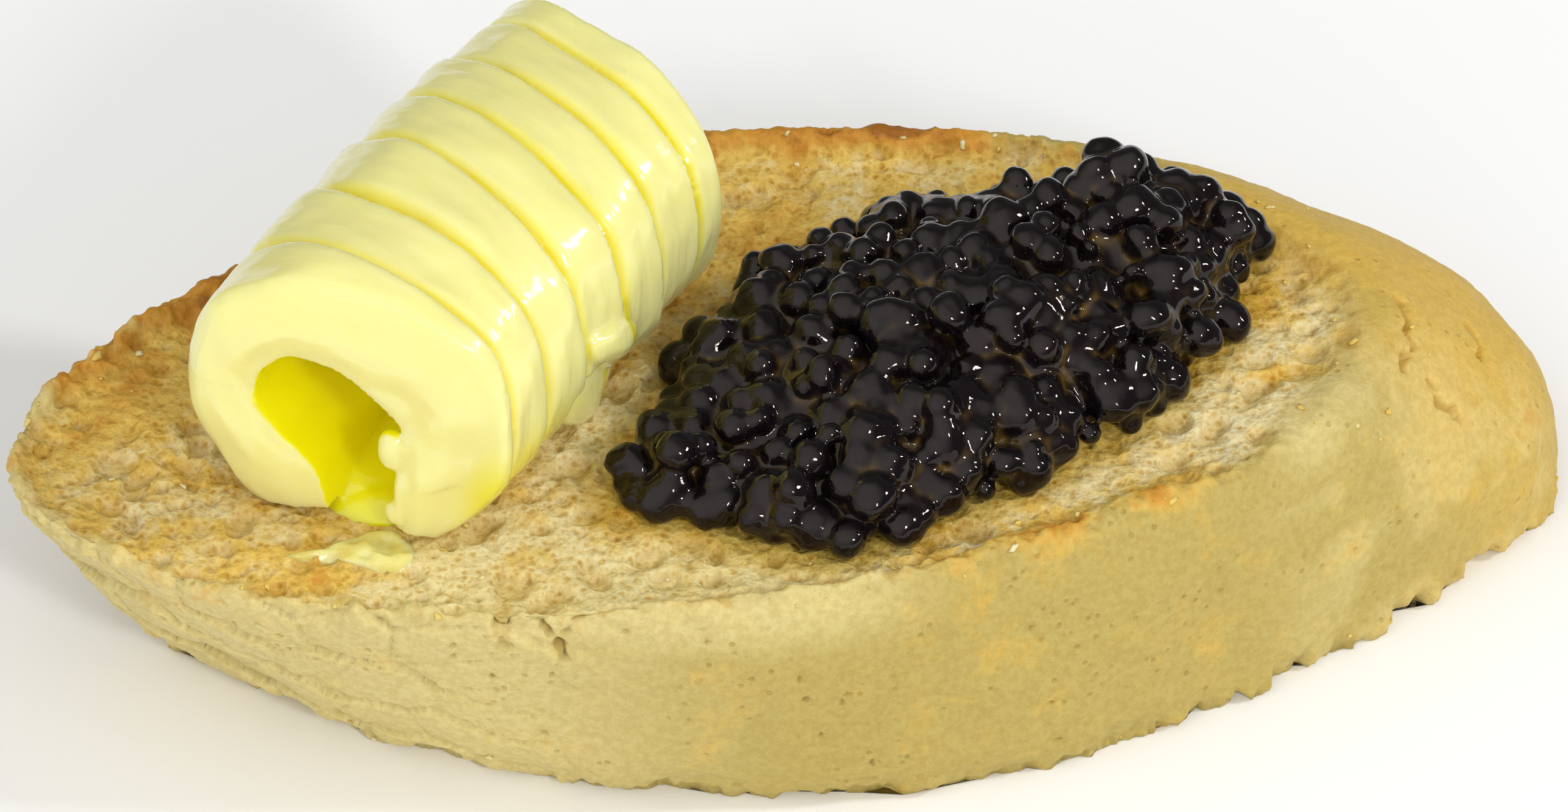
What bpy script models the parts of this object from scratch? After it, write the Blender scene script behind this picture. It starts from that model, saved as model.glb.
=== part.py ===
"""Toasted bread slice with a ridged butter curl and a heap of black caviar resting on it.

Metres, +Z up. The slice lies flat on its lower cut face: the origin is the middle of the object's box, at
the height of that face, and +X runs along the slice towards its domed end.
"""

import math

import bmesh
import bpy
from mathutils import Vector, noise

MM = 0.001
TOUCHING_GAP = 0.3 * MM  # free space left between two pieces that rest on each other

# Bread slice, cut on the slant from a flat loaf, so its two cut faces don't lie above each other.
# Each cut face's edge is in millimetres, anticlockwise from the thin end, point for point.
SLICE_THICKNESS = 18.5 * MM
UPPER_EDGE_MM = (
    (-52.0, -4.0),
    (-47.6, -12.6),
    (-37.6, -19.6),
    (-22.0, -23.5),
    (-4.0, -25.0),
    (14.0, -22.6),
    (30.0, -16.4),
    (37.8, -6.6),
    (37.4, 3.0),
    (29.2, 12.8),
    (15.2, 18.6),
    (-2.0, 21.2),
    (-20.0, 18.5),
    (-37.6, 11.7),
    (-47.6, 5.0),
)
LOWER_EDGE_MM = (
    (-42.6, -2.6),
    (-35.4, -9.2),
    (-26.4, -16.4),
    (-11.0, -23.4),
    (7.0, -26.0),
    (25.6, -21.2),
    (42.6, -12.8),
    (51.2, -5.8),
    (51.0, 3.0),
    (42.0, 11.4),
    (29.0, 17.0),
    (11.0, 19.8),
    (-7.0, 17.4),
    (-25.0, 10.4),
    (-36.6, 3.6),
)
SIDE_BELLY = 0.5 * MM  # how far the crust swells half way up
DOME_BELLY = 4.6 * MM  # how much further it swells at the domed end
DOME_TOWARDS = math.radians(20)
DOME_SPREAD = math.radians(60)
CRUST_WAVE = 0.7 * MM
CRUST_WAVE_LENGTH = 7.0 * MM
CRUST_THICKNESS = 1.8 * MM
CRUMB_DISH = 1.3 * MM  # depth of the crumb face below the crust's rim
CRUMB_HEIGHT = SLICE_THICKNESS - CRUMB_DISH
SLICE_STATIONS = 96
WALL_SHARES = (0.05, 0.16, 0.29, 0.42, 0.55, 0.68, 0.80, 0.90, 0.96, 1.0)
EDGE_ROUNDING = 0.7 * MM
ROUNDED_SHARE = 0.08  # part of the thickness over which an edge is rounded

# Butter curl: a thick ridged strip rolled into a tube that lies on its open seam
CURL_FOOT = Vector((-30.4, -11.5)) * MM  # middle of the front end
CURL_DIRECTION = math.radians(49.5)
CURL_WIDTH = 22.4 * MM
CURL_HEIGHT = 19.4 * MM
CURL_SQUARENESS = 0.86  # 1 is an oval section, less is squarer
CURL_ARC = (math.radians(-62), math.radians(242))  # stretch of the section that the ridged face takes
# Where the ridges begin and end: millimetres along the curl, and degrees that the groove slants there
RIDGE_ENDS = (
    (-0.4, 12.0),
    (3.3, -1.0),
    (8.7, -8.0),
    (14.1, -13.0),
    (19.1, -14.0),
    (23.9, -14.0),
    (28.6, -14.0),
    (31.8, -12.0),
)
GROOVE_DEPTH = 1.3 * MM
END_ROUNDING = 1.9 * MM
GROOVE_SHARPNESS = 0.45
STEPS_PER_RIDGE = 6
ARC_STEPS = 30
HOLLOW_STEPS = 20
# Edge of the hollow, from its right lip round to its left lip, sideways and up from the foot
HOLLOW_EDGE_MM = (
    (2.7, 0.6),
    (3.6, 3.8),
    (3.2, 6.6),
    (3.8, 9.0),
    (1.2, 11.5),
    (-2.4, 13.0),
    (-5.2, 11.6),
    (-5.7, 8.9),
    (-4.2, 6.0),
    (-2.2, 3.9),
    (-1.1, 0.6),
)

# Caviar heap: its foot on the crumb, in millimetres, anticlockwise from its low end
HEAP_FOOT_MM = (
    (-13.8, -13.6),
    (-8.6, -16.8),
    (-0.8, -20.6),
    (7.4, -18.4),
    (15.2, -15.2),
    (22.4, -10.6),
    (29.0, -3.4),
    (32.2, 3.4),
    (27.5, 8.0),
    (17.5, 9.6),
    (8.0, 9.4),
    (-0.6, 5.2),
    (-7.0, -1.6),
    (-11.4, -8.2),
)
HEAP_CREST_MM = ((-8.0, -11.0), (24.0, 2.5))  # line along which the heap is highest
HEAP_HEIGHT = 9.2 * MM
HEAP_LOW_END = 0.62  # its height at the low end, against the other end
HEAP_SIDE_SHARE = 0.2  # part of its height that its side goes straight up
LUMP_SIZE = 3.6 * MM
LUMP_RELIEF = 1.3 * MM
HEAP_DETAIL = 5

CURL_ALONG = Vector((math.cos(CURL_DIRECTION), math.sin(CURL_DIRECTION), 0))
CURL_ACROSS = Vector((math.sin(CURL_DIRECTION), -math.cos(CURL_DIRECTION), 0))


def spline(knots, place, closed=True):
    """The point at place (0 is the first knot, 1 the second) on a smooth curve through the knots."""
    k = int(place)
    t = place - k

    def knot(number):
        return knots[number % len(knots)] if closed else knots[min(max(number, 0), len(knots) - 1)]

    p0, p1, p2, p3 = (knot(k + step) for step in (-1, 0, 1, 2))
    return 0.5 * (
        2 * p1
        + (p2 - p0) * t
        + (2 * p0 - 5 * p1 + 4 * p2 - p3) * t**2
        + (3 * p1 - p0 - 3 * p2 + p3) * t**3
    )


def closed_curve(points_mm, count):
    """count points along a closed smooth curve through points given in millimetres."""
    knots = [Vector(p) * MM for p in points_mm]
    return [spline(knots, i * len(knots) / count) for i in range(count)]


def outward_normals(ring):
    """The outward direction at each point of an anticlockwise closed ring."""
    normals = []
    for i in range(len(ring)):
        along = ring[(i + 1) % len(ring)] - ring[i - 1]
        normals.append(Vector((along.y, -along.x)).normalized())
    return normals


def extrude_through(rings):
    """A solid grown from one flat cap, which is extruded from each ring of points to the next."""
    bm = bmesh.new()
    start = bmesh.ops.create_circle(bm, cap_ends=True, segments=len(rings[0]), radius=1)
    cap = start["verts"][0].link_faces[0]
    for vert, place in zip(cap.verts, rings[0]):
        vert.co = place
    for number, ring in enumerate(rings[1:]):
        grown = bmesh.ops.extrude_face_region(bm, geom=[cap])["geom"]
        if number:
            bm.faces.remove(cap)
        cap = next(item for item in grown if isinstance(item, bmesh.types.BMFace))
        for vert, place in zip(cap.verts, ring):
            vert.co = place
    return bm


def add_object(name, bm, material, collection):
    """Turns a finished bmesh into a smooth-shaded object."""
    bmesh.ops.triangulate(bm, faces=[face for face in bm.faces if len(face.verts) > 4])
    bmesh.ops.recalc_face_normals(bm, faces=bm.faces)
    mesh = bpy.data.meshes.new(name)
    bm.to_mesh(mesh)
    bm.free()
    mesh.shade_smooth()
    mesh.materials.append(material)
    collection.objects.link(bpy.data.objects.new(name, mesh))


def plain_material(name, colour, roughness):
    """A Principled material of one colour."""
    material = bpy.data.materials.new(name)
    material.use_nodes = True
    shader = material.node_tree.nodes["Principled BSDF"]
    shader.inputs["Base Color"].default_value = (*colour, 1)
    shader.inputs["Roughness"].default_value = roughness
    shader.inputs["Metallic"].default_value = 0
    return material


def slice_rings():
    """Rings of the bread slice, from its lower cut face up over the crust's rim to the dished crumb."""
    lower = closed_curve(LOWER_EDGE_MM, SLICE_STATIONS)
    upper = closed_curve(UPPER_EDGE_MM, SLICE_STATIONS)
    normals = outward_normals(upper)

    def ring(share, inset, height):
        belly = math.sin(math.pi * share)
        points = []
        for low, high, n in zip(lower, upper, normals):
            turn = math.remainder(math.atan2(n.y, n.x) - DOME_TOWARDS, 2 * math.pi)
            domed = math.exp(-((turn / DOME_SPREAD) ** 2))
            p = low.lerp(high, share)
            wave = noise.noise(Vector((p.x, p.y, height)) / CRUST_WAVE_LENGTH) * CRUST_WAVE
            p += n * (belly * (SIDE_BELLY + DOME_BELLY * domed) + wave - inset)
            points.append(Vector((p.x, p.y, height)))
        return points

    rings = [ring(0, EDGE_ROUNDING, 0)]
    for share in WALL_SHARES:
        near_edge = max(0.0, 1 - min(share, 1 - share) / ROUNDED_SHARE)
        rings.append(ring(share, EDGE_ROUNDING * near_edge**2, share * SLICE_THICKNESS))
    for inset_share, drop_share in ((0.55, 0.0), (0.8, 0.5), (1.2, 1.0)):
        rings.append(ring(1, inset_share * CRUST_THICKNESS, SLICE_THICKNESS - drop_share * CRUMB_DISH))
    return rings


def curl_section():
    """Closed outline of the curl's section: (sideways, up, 1 on the ridged face or 0 in the hollow)."""
    half, middle = CURL_WIDTH / 2, CURL_HEIGHT / 2

    def squared(value):
        return math.copysign(abs(value) ** CURL_SQUARENESS, value)

    section = []
    for i in range(ARC_STEPS + 1):
        angle = CURL_ARC[0] + (CURL_ARC[1] - CURL_ARC[0]) * i / ARC_STEPS
        up = middle + (1.12 * middle if math.sin(angle) < 0 else middle) * squared(math.sin(angle))
        section.append((half * squared(math.cos(angle)), max(up, 0), 1))
    knots = [Vector(p) * MM for p in reversed(HOLLOW_EDGE_MM)]
    for i in range(HOLLOW_STEPS + 1):
        p = spline(knots, i * (len(knots) - 1) / HOLLOW_STEPS, closed=False)
        section.append((p.x, max(p.y, 0), 0))
    return section


def ridge_stations():
    """Places along the curl, several for each ridge: (distance, slant, depth below the ridges' tops)."""
    stations = []
    for number, ((begin, slant), (end, next_slant)) in enumerate(zip(RIDGE_ENDS, RIDGE_ENDS[1:])):
        for step in range(STEPS_PER_RIDGE):
            share = step / STEPS_PER_RIDGE
            depth = GROOVE_DEPTH if number or step > STEPS_PER_RIDGE / 2 else END_ROUNDING
            groove = 1 - math.sin(math.pi * share) ** GROOVE_SHARPNESS
            angle = math.radians(slant + (next_slant - slant) * share)
            stations.append(((begin + (end - begin) * share) * MM, math.tan(angle), depth * groove))
    end, slant = RIDGE_ENDS[-1]
    return [*stations, (end * MM, math.tan(math.radians(slant)), END_ROUNDING)]


def curl_rings():
    """Rings of the butter curl, from its front end to its back end."""
    foot = CURL_FOOT.to_3d() + Vector((0, 0, CRUMB_HEIGHT + TOUCHING_GAP))
    middle = CURL_HEIGHT / 2
    section = curl_section()
    rings = []
    for distance, slant, depth in ridge_stations():
        ring = []
        for side, up, ridged in section:
            arm = Vector((side, up - middle))
            fade = min(1.0, up / (0.2 * CURL_HEIGHT))
            arm *= 1 - ridged * fade * depth / arm.length
            along = distance + slant * side
            ring.append(foot + CURL_ALONG * along + CURL_ACROSS * arm.x + Vector((0, 0, arm.y + middle)))
        rings.append(ring)
    return rings


def heap_mesh():
    """The caviar heap: half a fine ball spread out to the heap's foot, flat below and lumpy above."""
    base = CRUMB_HEIGHT + TOUCHING_GAP
    crest = [Vector(p) * MM for p in HEAP_CREST_MM]
    line = crest[1] - crest[0]
    middle = sum((Vector(p) * MM for p in HEAP_FOOT_MM), Vector((0, 0))) / len(HEAP_FOOT_MM)
    arms = [p - middle for p in closed_curve(HEAP_FOOT_MM, 720)]

    bm = bmesh.new()
    bmesh.ops.create_icosphere(bm, subdivisions=HEAP_DETAIL, radius=1)
    bmesh.ops.bisect_plane(
        bm,
        geom=[*bm.verts, *bm.edges, *bm.faces],
        plane_co=(0, 0, 0),
        plane_no=(0, 0, 1),
        clear_inner=True,
    )
    bmesh.ops.holes_fill(bm, edges=[edge for edge in bm.edges if edge.is_boundary])
    for vert in bm.verts:
        around = vert.co.xy.normalized() if vert.co.xy.length else Vector((1, 0))
        arm = max(arms, key=lambda a: a.normalized().dot(around))
        flat = middle + arm * vert.co.xy.length
        share = min(max((flat - crest[0]).dot(line) / line.length_squared, 0), 1)
        height = HEAP_HEIGHT * (HEAP_LOW_END + (1 - HEAP_LOW_END) * share)
        up = max(vert.co.z, 0)
        near = noise.voronoi(flat.to_3d() / LUMP_SIZE)[0][0]
        lump = LUMP_RELIEF * (0.45 - near) * min(1, up * 3)
        rise = height * (HEAP_SIDE_SHARE * min(1, up * 6) + (1 - HEAP_SIDE_SHARE) * up**1.1)
        vert.co = (flat.x, flat.y, base + max(rise + lump, 0))
    return bm


def object_middle():
    """Middle of the whole object's box, seen from above."""
    points = [p for ring in slice_rings() + curl_rings() for p in ring]
    xs, ys = [p.x for p in points], [p.y for p in points]
    return Vector(((min(xs) + max(xs)) / 2, (min(ys) + max(ys)) / 2, 0))


def main():
    for obj in list(bpy.data.objects):
        bpy.data.objects.remove(obj)
    collection = bpy.data.collections.new("toast_with_butter_and_caviar")
    bpy.context.scene.collection.children.link(collection)
    bread = plain_material("toasted_bread", (0.72, 0.50, 0.20), 0.8)
    butter = plain_material("butter", (0.87, 0.80, 0.36), 0.35)
    caviar = plain_material("black_caviar", (0.012, 0.009, 0.014), 0.12)
    pieces = (
        ("bread_slice", extrude_through(slice_rings()), bread),
        ("butter_curl", extrude_through(curl_rings()), butter),
        ("caviar_heap", heap_mesh(), caviar),
    )
    middle = object_middle()
    for name, bm, material in pieces:
        bmesh.ops.translate(bm, verts=bm.verts, vec=-middle)
        add_object(name, bm, material, collection)


main()
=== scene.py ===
"""Slice of toast with a ridged butter curl and a heap of black caviar.

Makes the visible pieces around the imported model: the slice, the curl, its smear, the caviar and the crumbs.
"""

import itertools
import math
import random

import bmesh
import bpy
import numpy as np
from bpy.props import FloatProperty, FloatVectorProperty, IntProperty, PointerProperty
from mathutils import Matrix, Vector, noise
from mathutils.bvhtree import BVHTree


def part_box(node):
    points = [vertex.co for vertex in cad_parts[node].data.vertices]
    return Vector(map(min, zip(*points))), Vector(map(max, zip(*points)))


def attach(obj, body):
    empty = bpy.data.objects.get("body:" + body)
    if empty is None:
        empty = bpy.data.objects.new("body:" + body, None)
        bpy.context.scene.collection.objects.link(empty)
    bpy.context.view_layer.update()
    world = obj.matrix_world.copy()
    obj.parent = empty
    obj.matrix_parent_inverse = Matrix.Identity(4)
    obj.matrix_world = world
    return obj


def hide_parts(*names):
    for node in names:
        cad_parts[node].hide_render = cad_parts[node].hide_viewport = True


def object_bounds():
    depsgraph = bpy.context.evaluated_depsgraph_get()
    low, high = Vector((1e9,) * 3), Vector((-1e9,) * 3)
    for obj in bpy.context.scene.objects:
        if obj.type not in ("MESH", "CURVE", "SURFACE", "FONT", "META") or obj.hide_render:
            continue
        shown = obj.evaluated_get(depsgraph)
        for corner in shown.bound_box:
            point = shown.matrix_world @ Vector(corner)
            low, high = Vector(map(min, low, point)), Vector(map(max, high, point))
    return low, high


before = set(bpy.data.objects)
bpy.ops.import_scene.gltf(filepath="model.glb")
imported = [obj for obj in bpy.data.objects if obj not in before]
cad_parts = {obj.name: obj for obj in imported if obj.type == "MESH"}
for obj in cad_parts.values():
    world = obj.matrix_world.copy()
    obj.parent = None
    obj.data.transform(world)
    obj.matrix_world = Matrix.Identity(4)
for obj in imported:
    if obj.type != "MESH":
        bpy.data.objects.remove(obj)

bl_info = {
    "name": "Toast with butter and caviar",
    "version": (1, 0, 0),
    "blender": (4, 5, 0),
    "location": "View3D > Sidebar > Toast",
    "description": "Builds the toast slice, the butter curl, its smear, the caviar and the crumbs",
    "category": "Object",
}

MM = 0.001
BODY = "root"
CAD_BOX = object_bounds()
CURL_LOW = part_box("butter_curl")[0]
HEAP_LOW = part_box("caviar_heap")[0]
CRUMB_TOP = 17.2 * MM  # height of the upper cut face below the toppings
MOST_FACES = 190000  # triangles of one piece
SPECK_CORNERS = 2000  # a closed shell with fewer vertices is a pocket inside a skin
MERGED = 1e-6  # corners this close are one
WHITE = (1.0, 1.0, 1.0)


def colour(*screen):
    """Linear colour from screen values of 0 to 255."""
    shares = [value / 255 for value in screen]
    return tuple(v / 12.92 if v <= 0.04045 else ((v + 0.055) / 1.055) ** 2.4 for v in shares)


# ---------------------------------------------------------------- shared mesh helpers


def points_of(mesh):
    """Vertex places of a mesh as rows of numbers."""
    flat = np.empty(len(mesh.vertices) * 3, np.float32)
    mesh.vertices.foreach_get("co", flat)
    return flat.reshape(-1, 3).astype(float)


def normals_of(mesh):
    """Vertex normals of a mesh as rows of numbers."""
    mesh.update()
    flat = np.empty(len(mesh.vertices) * 3, np.float32)
    mesh.vertex_normals.foreach_get("vector", flat)
    return flat.reshape(-1, 3).astype(float)


def place_points(mesh, points):
    """Moves a mesh's vertices."""
    mesh.vertices.foreach_set("co", points.astype(np.float32).ravel())
    mesh.update()


def edges_of(mesh):
    """Vertex pairs of a mesh's edges."""
    flat = np.empty(len(mesh.edges) * 2, np.int32)
    mesh.edges.foreach_get("vertices", flat)
    return flat.reshape(-1, 2)


def spread(values, edges):
    """Average of each vertex's neighbours."""
    count = len(values)
    shared = np.maximum(np.bincount(edges.ravel(), minlength=count), 1)
    total = np.empty(values.shape)
    for axis in range(values.shape[1]):
        column = values[:, axis]
        total[:, axis] = sum(np.bincount(edges[:, k], column[edges[:, 1 - k]], count) for k in (0, 1))
    return total / shared[:, None]


def rough(points, size, seed, octaves=3, stretch=(1, 1, 1)):
    """Cloudy noise, about -1 to 1, whose lumps are size millimetres across."""
    wide, deep, high = (1 / (size * MM * s) for s in stretch)
    shift = 17.31 * seed
    places = [(x * wide + shift, y * deep - shift, z * high + 0.7 * shift) for x, y, z in points.tolist()]
    return np.array([noise.fractal(place, 1.0, 2.0, octaves) for place in places])


def cells(points, size, seed, slope=(0.0, 0.0, 0.0)):
    """Rows of three, in cells: distances to the two nearest middles, and the way along the slope."""
    scale = 1 / (size * MM)
    shift = 11.17 * seed
    way = Vector(slope)
    rows = []
    for x, y, z in points.tolist():
        spot = Vector((x * scale + shift, y * scale - shift, z * scale + shift))
        distances, middles = noise.voronoi(spot)
        rows.append((distances[0], distances[1], way.dot(spot - middles[0])))
    return np.array(rows)


def ease(values, low, high):
    """0 below low, 1 above high, smooth between."""
    share = np.clip((values - low) / (high - low), 0, 1)
    return share * share * (3 - 2 * share)


def paint(mesh, name, values):
    """Stores one number for each vertex, for the materials."""
    layer = mesh.attributes.new(name, "FLOAT", "POINT")
    layer.data.foreach_set("value", values.astype(np.float32))


def mesh_of(bm, name):
    """A named mesh from a bmesh, which is freed."""
    mesh = bpy.data.meshes.new(name)
    bm.to_mesh(mesh)
    bm.free()
    return mesh


def with_modifier(mesh, kind, **settings):
    """What one modifier makes of a mesh, which it takes the place of."""
    name = mesh.name
    carrier = bpy.data.objects.new(name, mesh)
    bpy.context.scene.collection.objects.link(carrier)
    modifier = carrier.modifiers.new("shaper", kind)
    for setting, value in settings.items():
        setattr(modifier, setting, value)
    depsgraph = bpy.context.evaluated_depsgraph_get()
    made = bpy.data.meshes.new_from_object(carrier.evaluated_get(depsgraph))
    bpy.data.objects.remove(carrier)
    bpy.data.meshes.remove(mesh)
    made.name = name
    return made


def voxel_skin(bm, fineness, name):
    """One closed, even skin round everything in bm."""
    skin = with_modifier(mesh_of(bm, name), "REMESH", mode="VOXEL", voxel_size=fineness, adaptivity=0)
    drop_specks(skin)
    return skin


def drop_specks(mesh):
    """Deletes the small closed shells that pockets leave inside a skin."""
    bm = bmesh.new()
    bm.from_mesh(mesh)
    waiting = set(bm.verts)
    specks = []
    while waiting:
        shell = [waiting.pop()]
        for vert in shell:
            for edge in vert.link_edges:
                other = edge.other_vert(vert)
                if other in waiting:
                    waiting.remove(other)
                    shell.append(other)
        if len(shell) < SPECK_CORNERS:
            specks += shell
    bmesh.ops.delete(bm, geom=specks, context="VERTS")
    bm.to_mesh(mesh)
    bm.free()


def mend(mesh):
    """Cuts out the few faces that meet three at an edge, and closes the skin again."""
    bm = bmesh.new()
    bm.from_mesh(mesh)
    bmesh.ops.dissolve_degenerate(bm, dist=1e-7, edges=bm.edges)
    for _ in range(4):
        torn = [e for e in bm.edges if len(e.link_faces) != 2]
        if not torn:
            break
        bmesh.ops.delete(bm, geom=list({f for e in torn for f in e.link_faces}), context="FACES")
        bmesh.ops.delete(bm, geom=[e for e in bm.edges if not e.link_faces], context="EDGES")
        bmesh.ops.delete(bm, geom=[v for v in bm.verts if not v.link_faces], context="VERTS")
        filled = bmesh.ops.holes_fill(bm, edges=[e for e in bm.edges if e.is_boundary], sides=0)
        bmesh.ops.triangulate(bm, faces=filled["faces"])
    bm.to_mesh(mesh)
    bm.free()


def thin_out(mesh):
    """The same mesh with fewer faces where it is flattest, below the limit of one piece."""
    faces = sum(len(polygon.vertices) - 2 for polygon in mesh.polygons)
    if faces <= MOST_FACES:
        return mesh
    thinned = with_modifier(mesh, "DECIMATE", ratio=MOST_FACES / faces)
    mend(thinned)
    return thinned


def finish_piece(name, mesh, material, slot, *nodes):
    """Adds a finished piece to the object."""
    mesh = thin_out(mesh)
    mesh.polygons.foreach_set("use_smooth", [True] * len(mesh.polygons))
    mesh.materials.clear()
    mesh.materials.append(material)
    piece = bpy.data.objects.new(name, mesh)
    bpy.context.scene.collection.objects.link(piece)
    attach(piece, BODY)
    if nodes:
        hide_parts(*nodes)
    return piece


def tree_of(mesh):
    """Search tree of a mesh's faces."""
    bm = bmesh.new()
    bm.from_mesh(mesh)
    tree = BVHTree.FromBMesh(bm)
    bm.free()
    return tree


# ---------------------------------------------------------------- material helpers


class Maker:
    """Short calls for building a node material."""

    def __init__(self, name):
        self.material = bpy.data.materials.new(name)
        self.material.use_nodes = True
        self.tree = self.material.node_tree
        self.shader = self.tree.nodes["Principled BSDF"]
        self.place = self.tree.nodes.new("ShaderNodeTexCoord").outputs["Object"]

    def link(self, value, socket):
        """Joins an output to a socket, or sets the socket to a plain value."""
        if isinstance(value, bpy.types.NodeSocket):
            self.tree.links.new(value, socket)
        else:
            socket.default_value = value

    def read(self, name):
        """Number stored for each vertex under a name."""
        node = self.tree.nodes.new("ShaderNodeAttribute")
        node.attribute_name = name
        return node.outputs["Fac"]

    def cloud(self, size, detail=3.0, roughness=0.55, place=None):
        """Noise whose lumps are size millimetres across."""
        node = self.tree.nodes.new("ShaderNodeTexNoise")
        node.inputs["Scale"].default_value = 1 / (size * MM)
        node.inputs["Detail"].default_value = detail
        node.inputs["Roughness"].default_value = roughness
        self.link(place or self.place, node.inputs["Vector"])
        return node.outputs["Fac"]

    def cells(self, size):
        """Distance from the nearest of many middles that are size millimetres apart."""
        node = self.tree.nodes.new("ShaderNodeTexVoronoi")
        node.inputs["Scale"].default_value = 1 / (size * MM)
        self.link(self.place, node.inputs["Vector"])
        return node.outputs["Distance"]

    def together(self, x, y, z):
        """Place made of three numbers."""
        node = self.tree.nodes.new("ShaderNodeCombineXYZ")
        for value, socket in zip((x, y, z), node.inputs):
            self.link(value, socket)
        return node.outputs["Vector"]

    def sum(self, operation, a, b):
        """One sum of two numbers."""
        node = self.tree.nodes.new("ShaderNodeMath")
        node.operation = operation
        self.link(a, node.inputs[0])
        self.link(b, node.inputs[1])
        return node.outputs["Value"]

    def plus(self, a, b):
        return self.sum("ADD", a, b)

    def minus(self, a, b):
        return self.sum("SUBTRACT", a, b)

    def times(self, a, b):
        return self.sum("MULTIPLY", a, b)

    def ramp(self, value, low, high, start=0.0, end=1.0):
        """Smooth step from start, at low, to end, at high."""
        node = self.tree.nodes.new("ShaderNodeMapRange")
        node.interpolation_type = "SMOOTHSTEP"
        for share, name in ((low, "From Min"), (high, "From Max"), (start, "To Min"), (end, "To Max")):
            node.inputs[name].default_value = share
        self.link(value, node.inputs["Value"])
        return node.outputs["Result"]

    def mix(self, share, a, b, blend="MIX"):
        """Colour a where share is 0 and b where it is 1."""
        node = self.tree.nodes.new("ShaderNodeMix")
        node.data_type = "RGBA"
        node.blend_type = blend
        for value, socket in ((share, node.inputs[0]), (a, node.inputs[6]), (b, node.inputs[7])):
            if isinstance(value, tuple) and len(value) == 3:
                value = (*value, 1.0)
            self.link(value, socket)
        return node.outputs[2]

    def stained_and_shaded(self, base, stain, share=1.0):
        """A base colour multiplied by a see-through colour, used for real stains and for painted shade."""
        return self.mix(share, base, stain, "MULTIPLY")

    def bump(self, height, distance, strength):
        """Small relief, distance millimetres deep."""
        node = self.tree.nodes.new("ShaderNodeBump")
        node.inputs["Distance"].default_value = distance * MM
        node.inputs["Strength"].default_value = strength
        self.link(height, node.inputs["Height"])
        return node.outputs["Normal"]

    def set(self, **values):
        """Shader sockets by name, with underscores for spaces."""
        for name, value in values.items():
            if isinstance(value, tuple) and len(value) == 3 and name != "Subsurface_Radius":
                value = (*value, 1.0)
            self.link(value, self.shader.inputs[name.replace("_", " ")])
        return self.material


# ---------------------------------------------------------------- settings


class ToastLook(bpy.types.PropertyGroup):
    """Sizes and colours of the toast."""

    fineness: FloatProperty(
        name="Fineness", description="Side of a mesh face", default=0.28 * MM, unit="LENGTH", precision=5
    )
    pore_count: IntProperty(name="Pores", description="Open pores of the cut face", default=1300, min=0)
    crumb_pale: FloatVectorProperty(
        name="Pale crumb", description="Least toasted crumb", subtype="COLOR", default=colour(236, 222, 174)
    )
    crumb_golden: FloatVectorProperty(
        name="Golden crumb", description="Toasted crumb", subtype="COLOR", default=colour(229, 195, 98)
    )
    crumb_cream: FloatVectorProperty(
        name="Cream", description="Palest torn patches", subtype="COLOR", default=colour(230, 215, 154)
    )
    rind_pale: FloatVectorProperty(
        name="Pale crust", description="Long side's crust", subtype="COLOR", default=colour(190, 170, 95)
    )
    rind_golden: FloatVectorProperty(
        name="Golden crust", description="Domed end's crust", subtype="COLOR", default=colour(219, 183, 86)
    )
    browned: FloatVectorProperty(
        name="Browned", description="Browned rims and spots", subtype="COLOR", default=colour(206, 148, 52)
    )
    singed: FloatVectorProperty(
        name="Singed", description="Darkest tips", subtype="COLOR", default=colour(158, 98, 24)
    )


class ButterLook(bpy.types.PropertyGroup):
    """Sizes and colours of the butter."""

    fineness: FloatProperty(
        name="Fineness", description="Side of a mesh face", default=0.205 * MM, unit="LENGTH", precision=5
    )
    groove_depth: FloatProperty(
        name="Groove depth", description="Depth between the ridges", default=1.65 * MM, unit="LENGTH"
    )
    face: FloatVectorProperty(
        name="Butter", description="Butter on the ridges", subtype="COLOR", default=colour(247, 240, 159)
    )
    # painted shade: the deeper yellow of the grooves and the lower right flank; also faint random patches
    groove: FloatVectorProperty(
        name="Groove", description="Butter in the grooves", subtype="COLOR", default=colour(240, 226, 38)
    )
    # painted light: bright saturated yellow in the hollow, standing in for light that shines through the
    # curl's walls
    inside: FloatVectorProperty(
        name="Hollow", description="Butter inside the curl", subtype="COLOR", default=colour(255, 242, 6)
    )


class CaviarLook(bpy.types.PropertyGroup):
    """Sizes and colours of the caviar."""

    fineness: FloatProperty(
        name="Fineness", description="Side of a mesh face", default=0.185 * MM, unit="LENGTH", precision=5
    )
    grain: FloatProperty(name="Grain", description="Middle size of a grain", default=2.7 * MM, unit="LENGTH")
    black: FloatVectorProperty(
        name="Caviar", description="Colour of the grains", subtype="COLOR", default=colour(15, 10, 12)
    )
    # film colour: the wet film's own brown tint, partly a painted reflection of the warm bread
    film: FloatVectorProperty(
        name="Film", description="Wet film between grains", subtype="COLOR", default=colour(92, 70, 28)
    )


class StudioLook(bpy.types.PropertyGroup):
    """Floor, lights and camera."""

    floor: FloatVectorProperty(
        name="Floor", description="Colour of the floor", subtype="COLOR", default=colour(251, 251, 250)
    )
    key_power: FloatProperty(
        name="Small lights", description="Power of the front light", default=2.2, unit="POWER"
    )
    sky: FloatProperty(name="Sky", description="Strength of the light from all round", default=0.15)
    window: FloatProperty(name="Soft window", description="Strength of the left light", default=0.98)


# ---------------------------------------------------------------- toast

OUTLINE_ABOVE = 17.9 * MM  # corners of the bread's solid above this are its upper rim
CRACK_DEPTH = 0.8 * MM
PINHOLE_DEPTH = 0.32 * MM
PIT_DEPTH = 0.30 * MM
LIP_HEIGHT = 0.4 * MM
SOAK_SHADE_ABOVE = 16 * MM
SOAK_SHADE_REACH = 6 * MM


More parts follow.
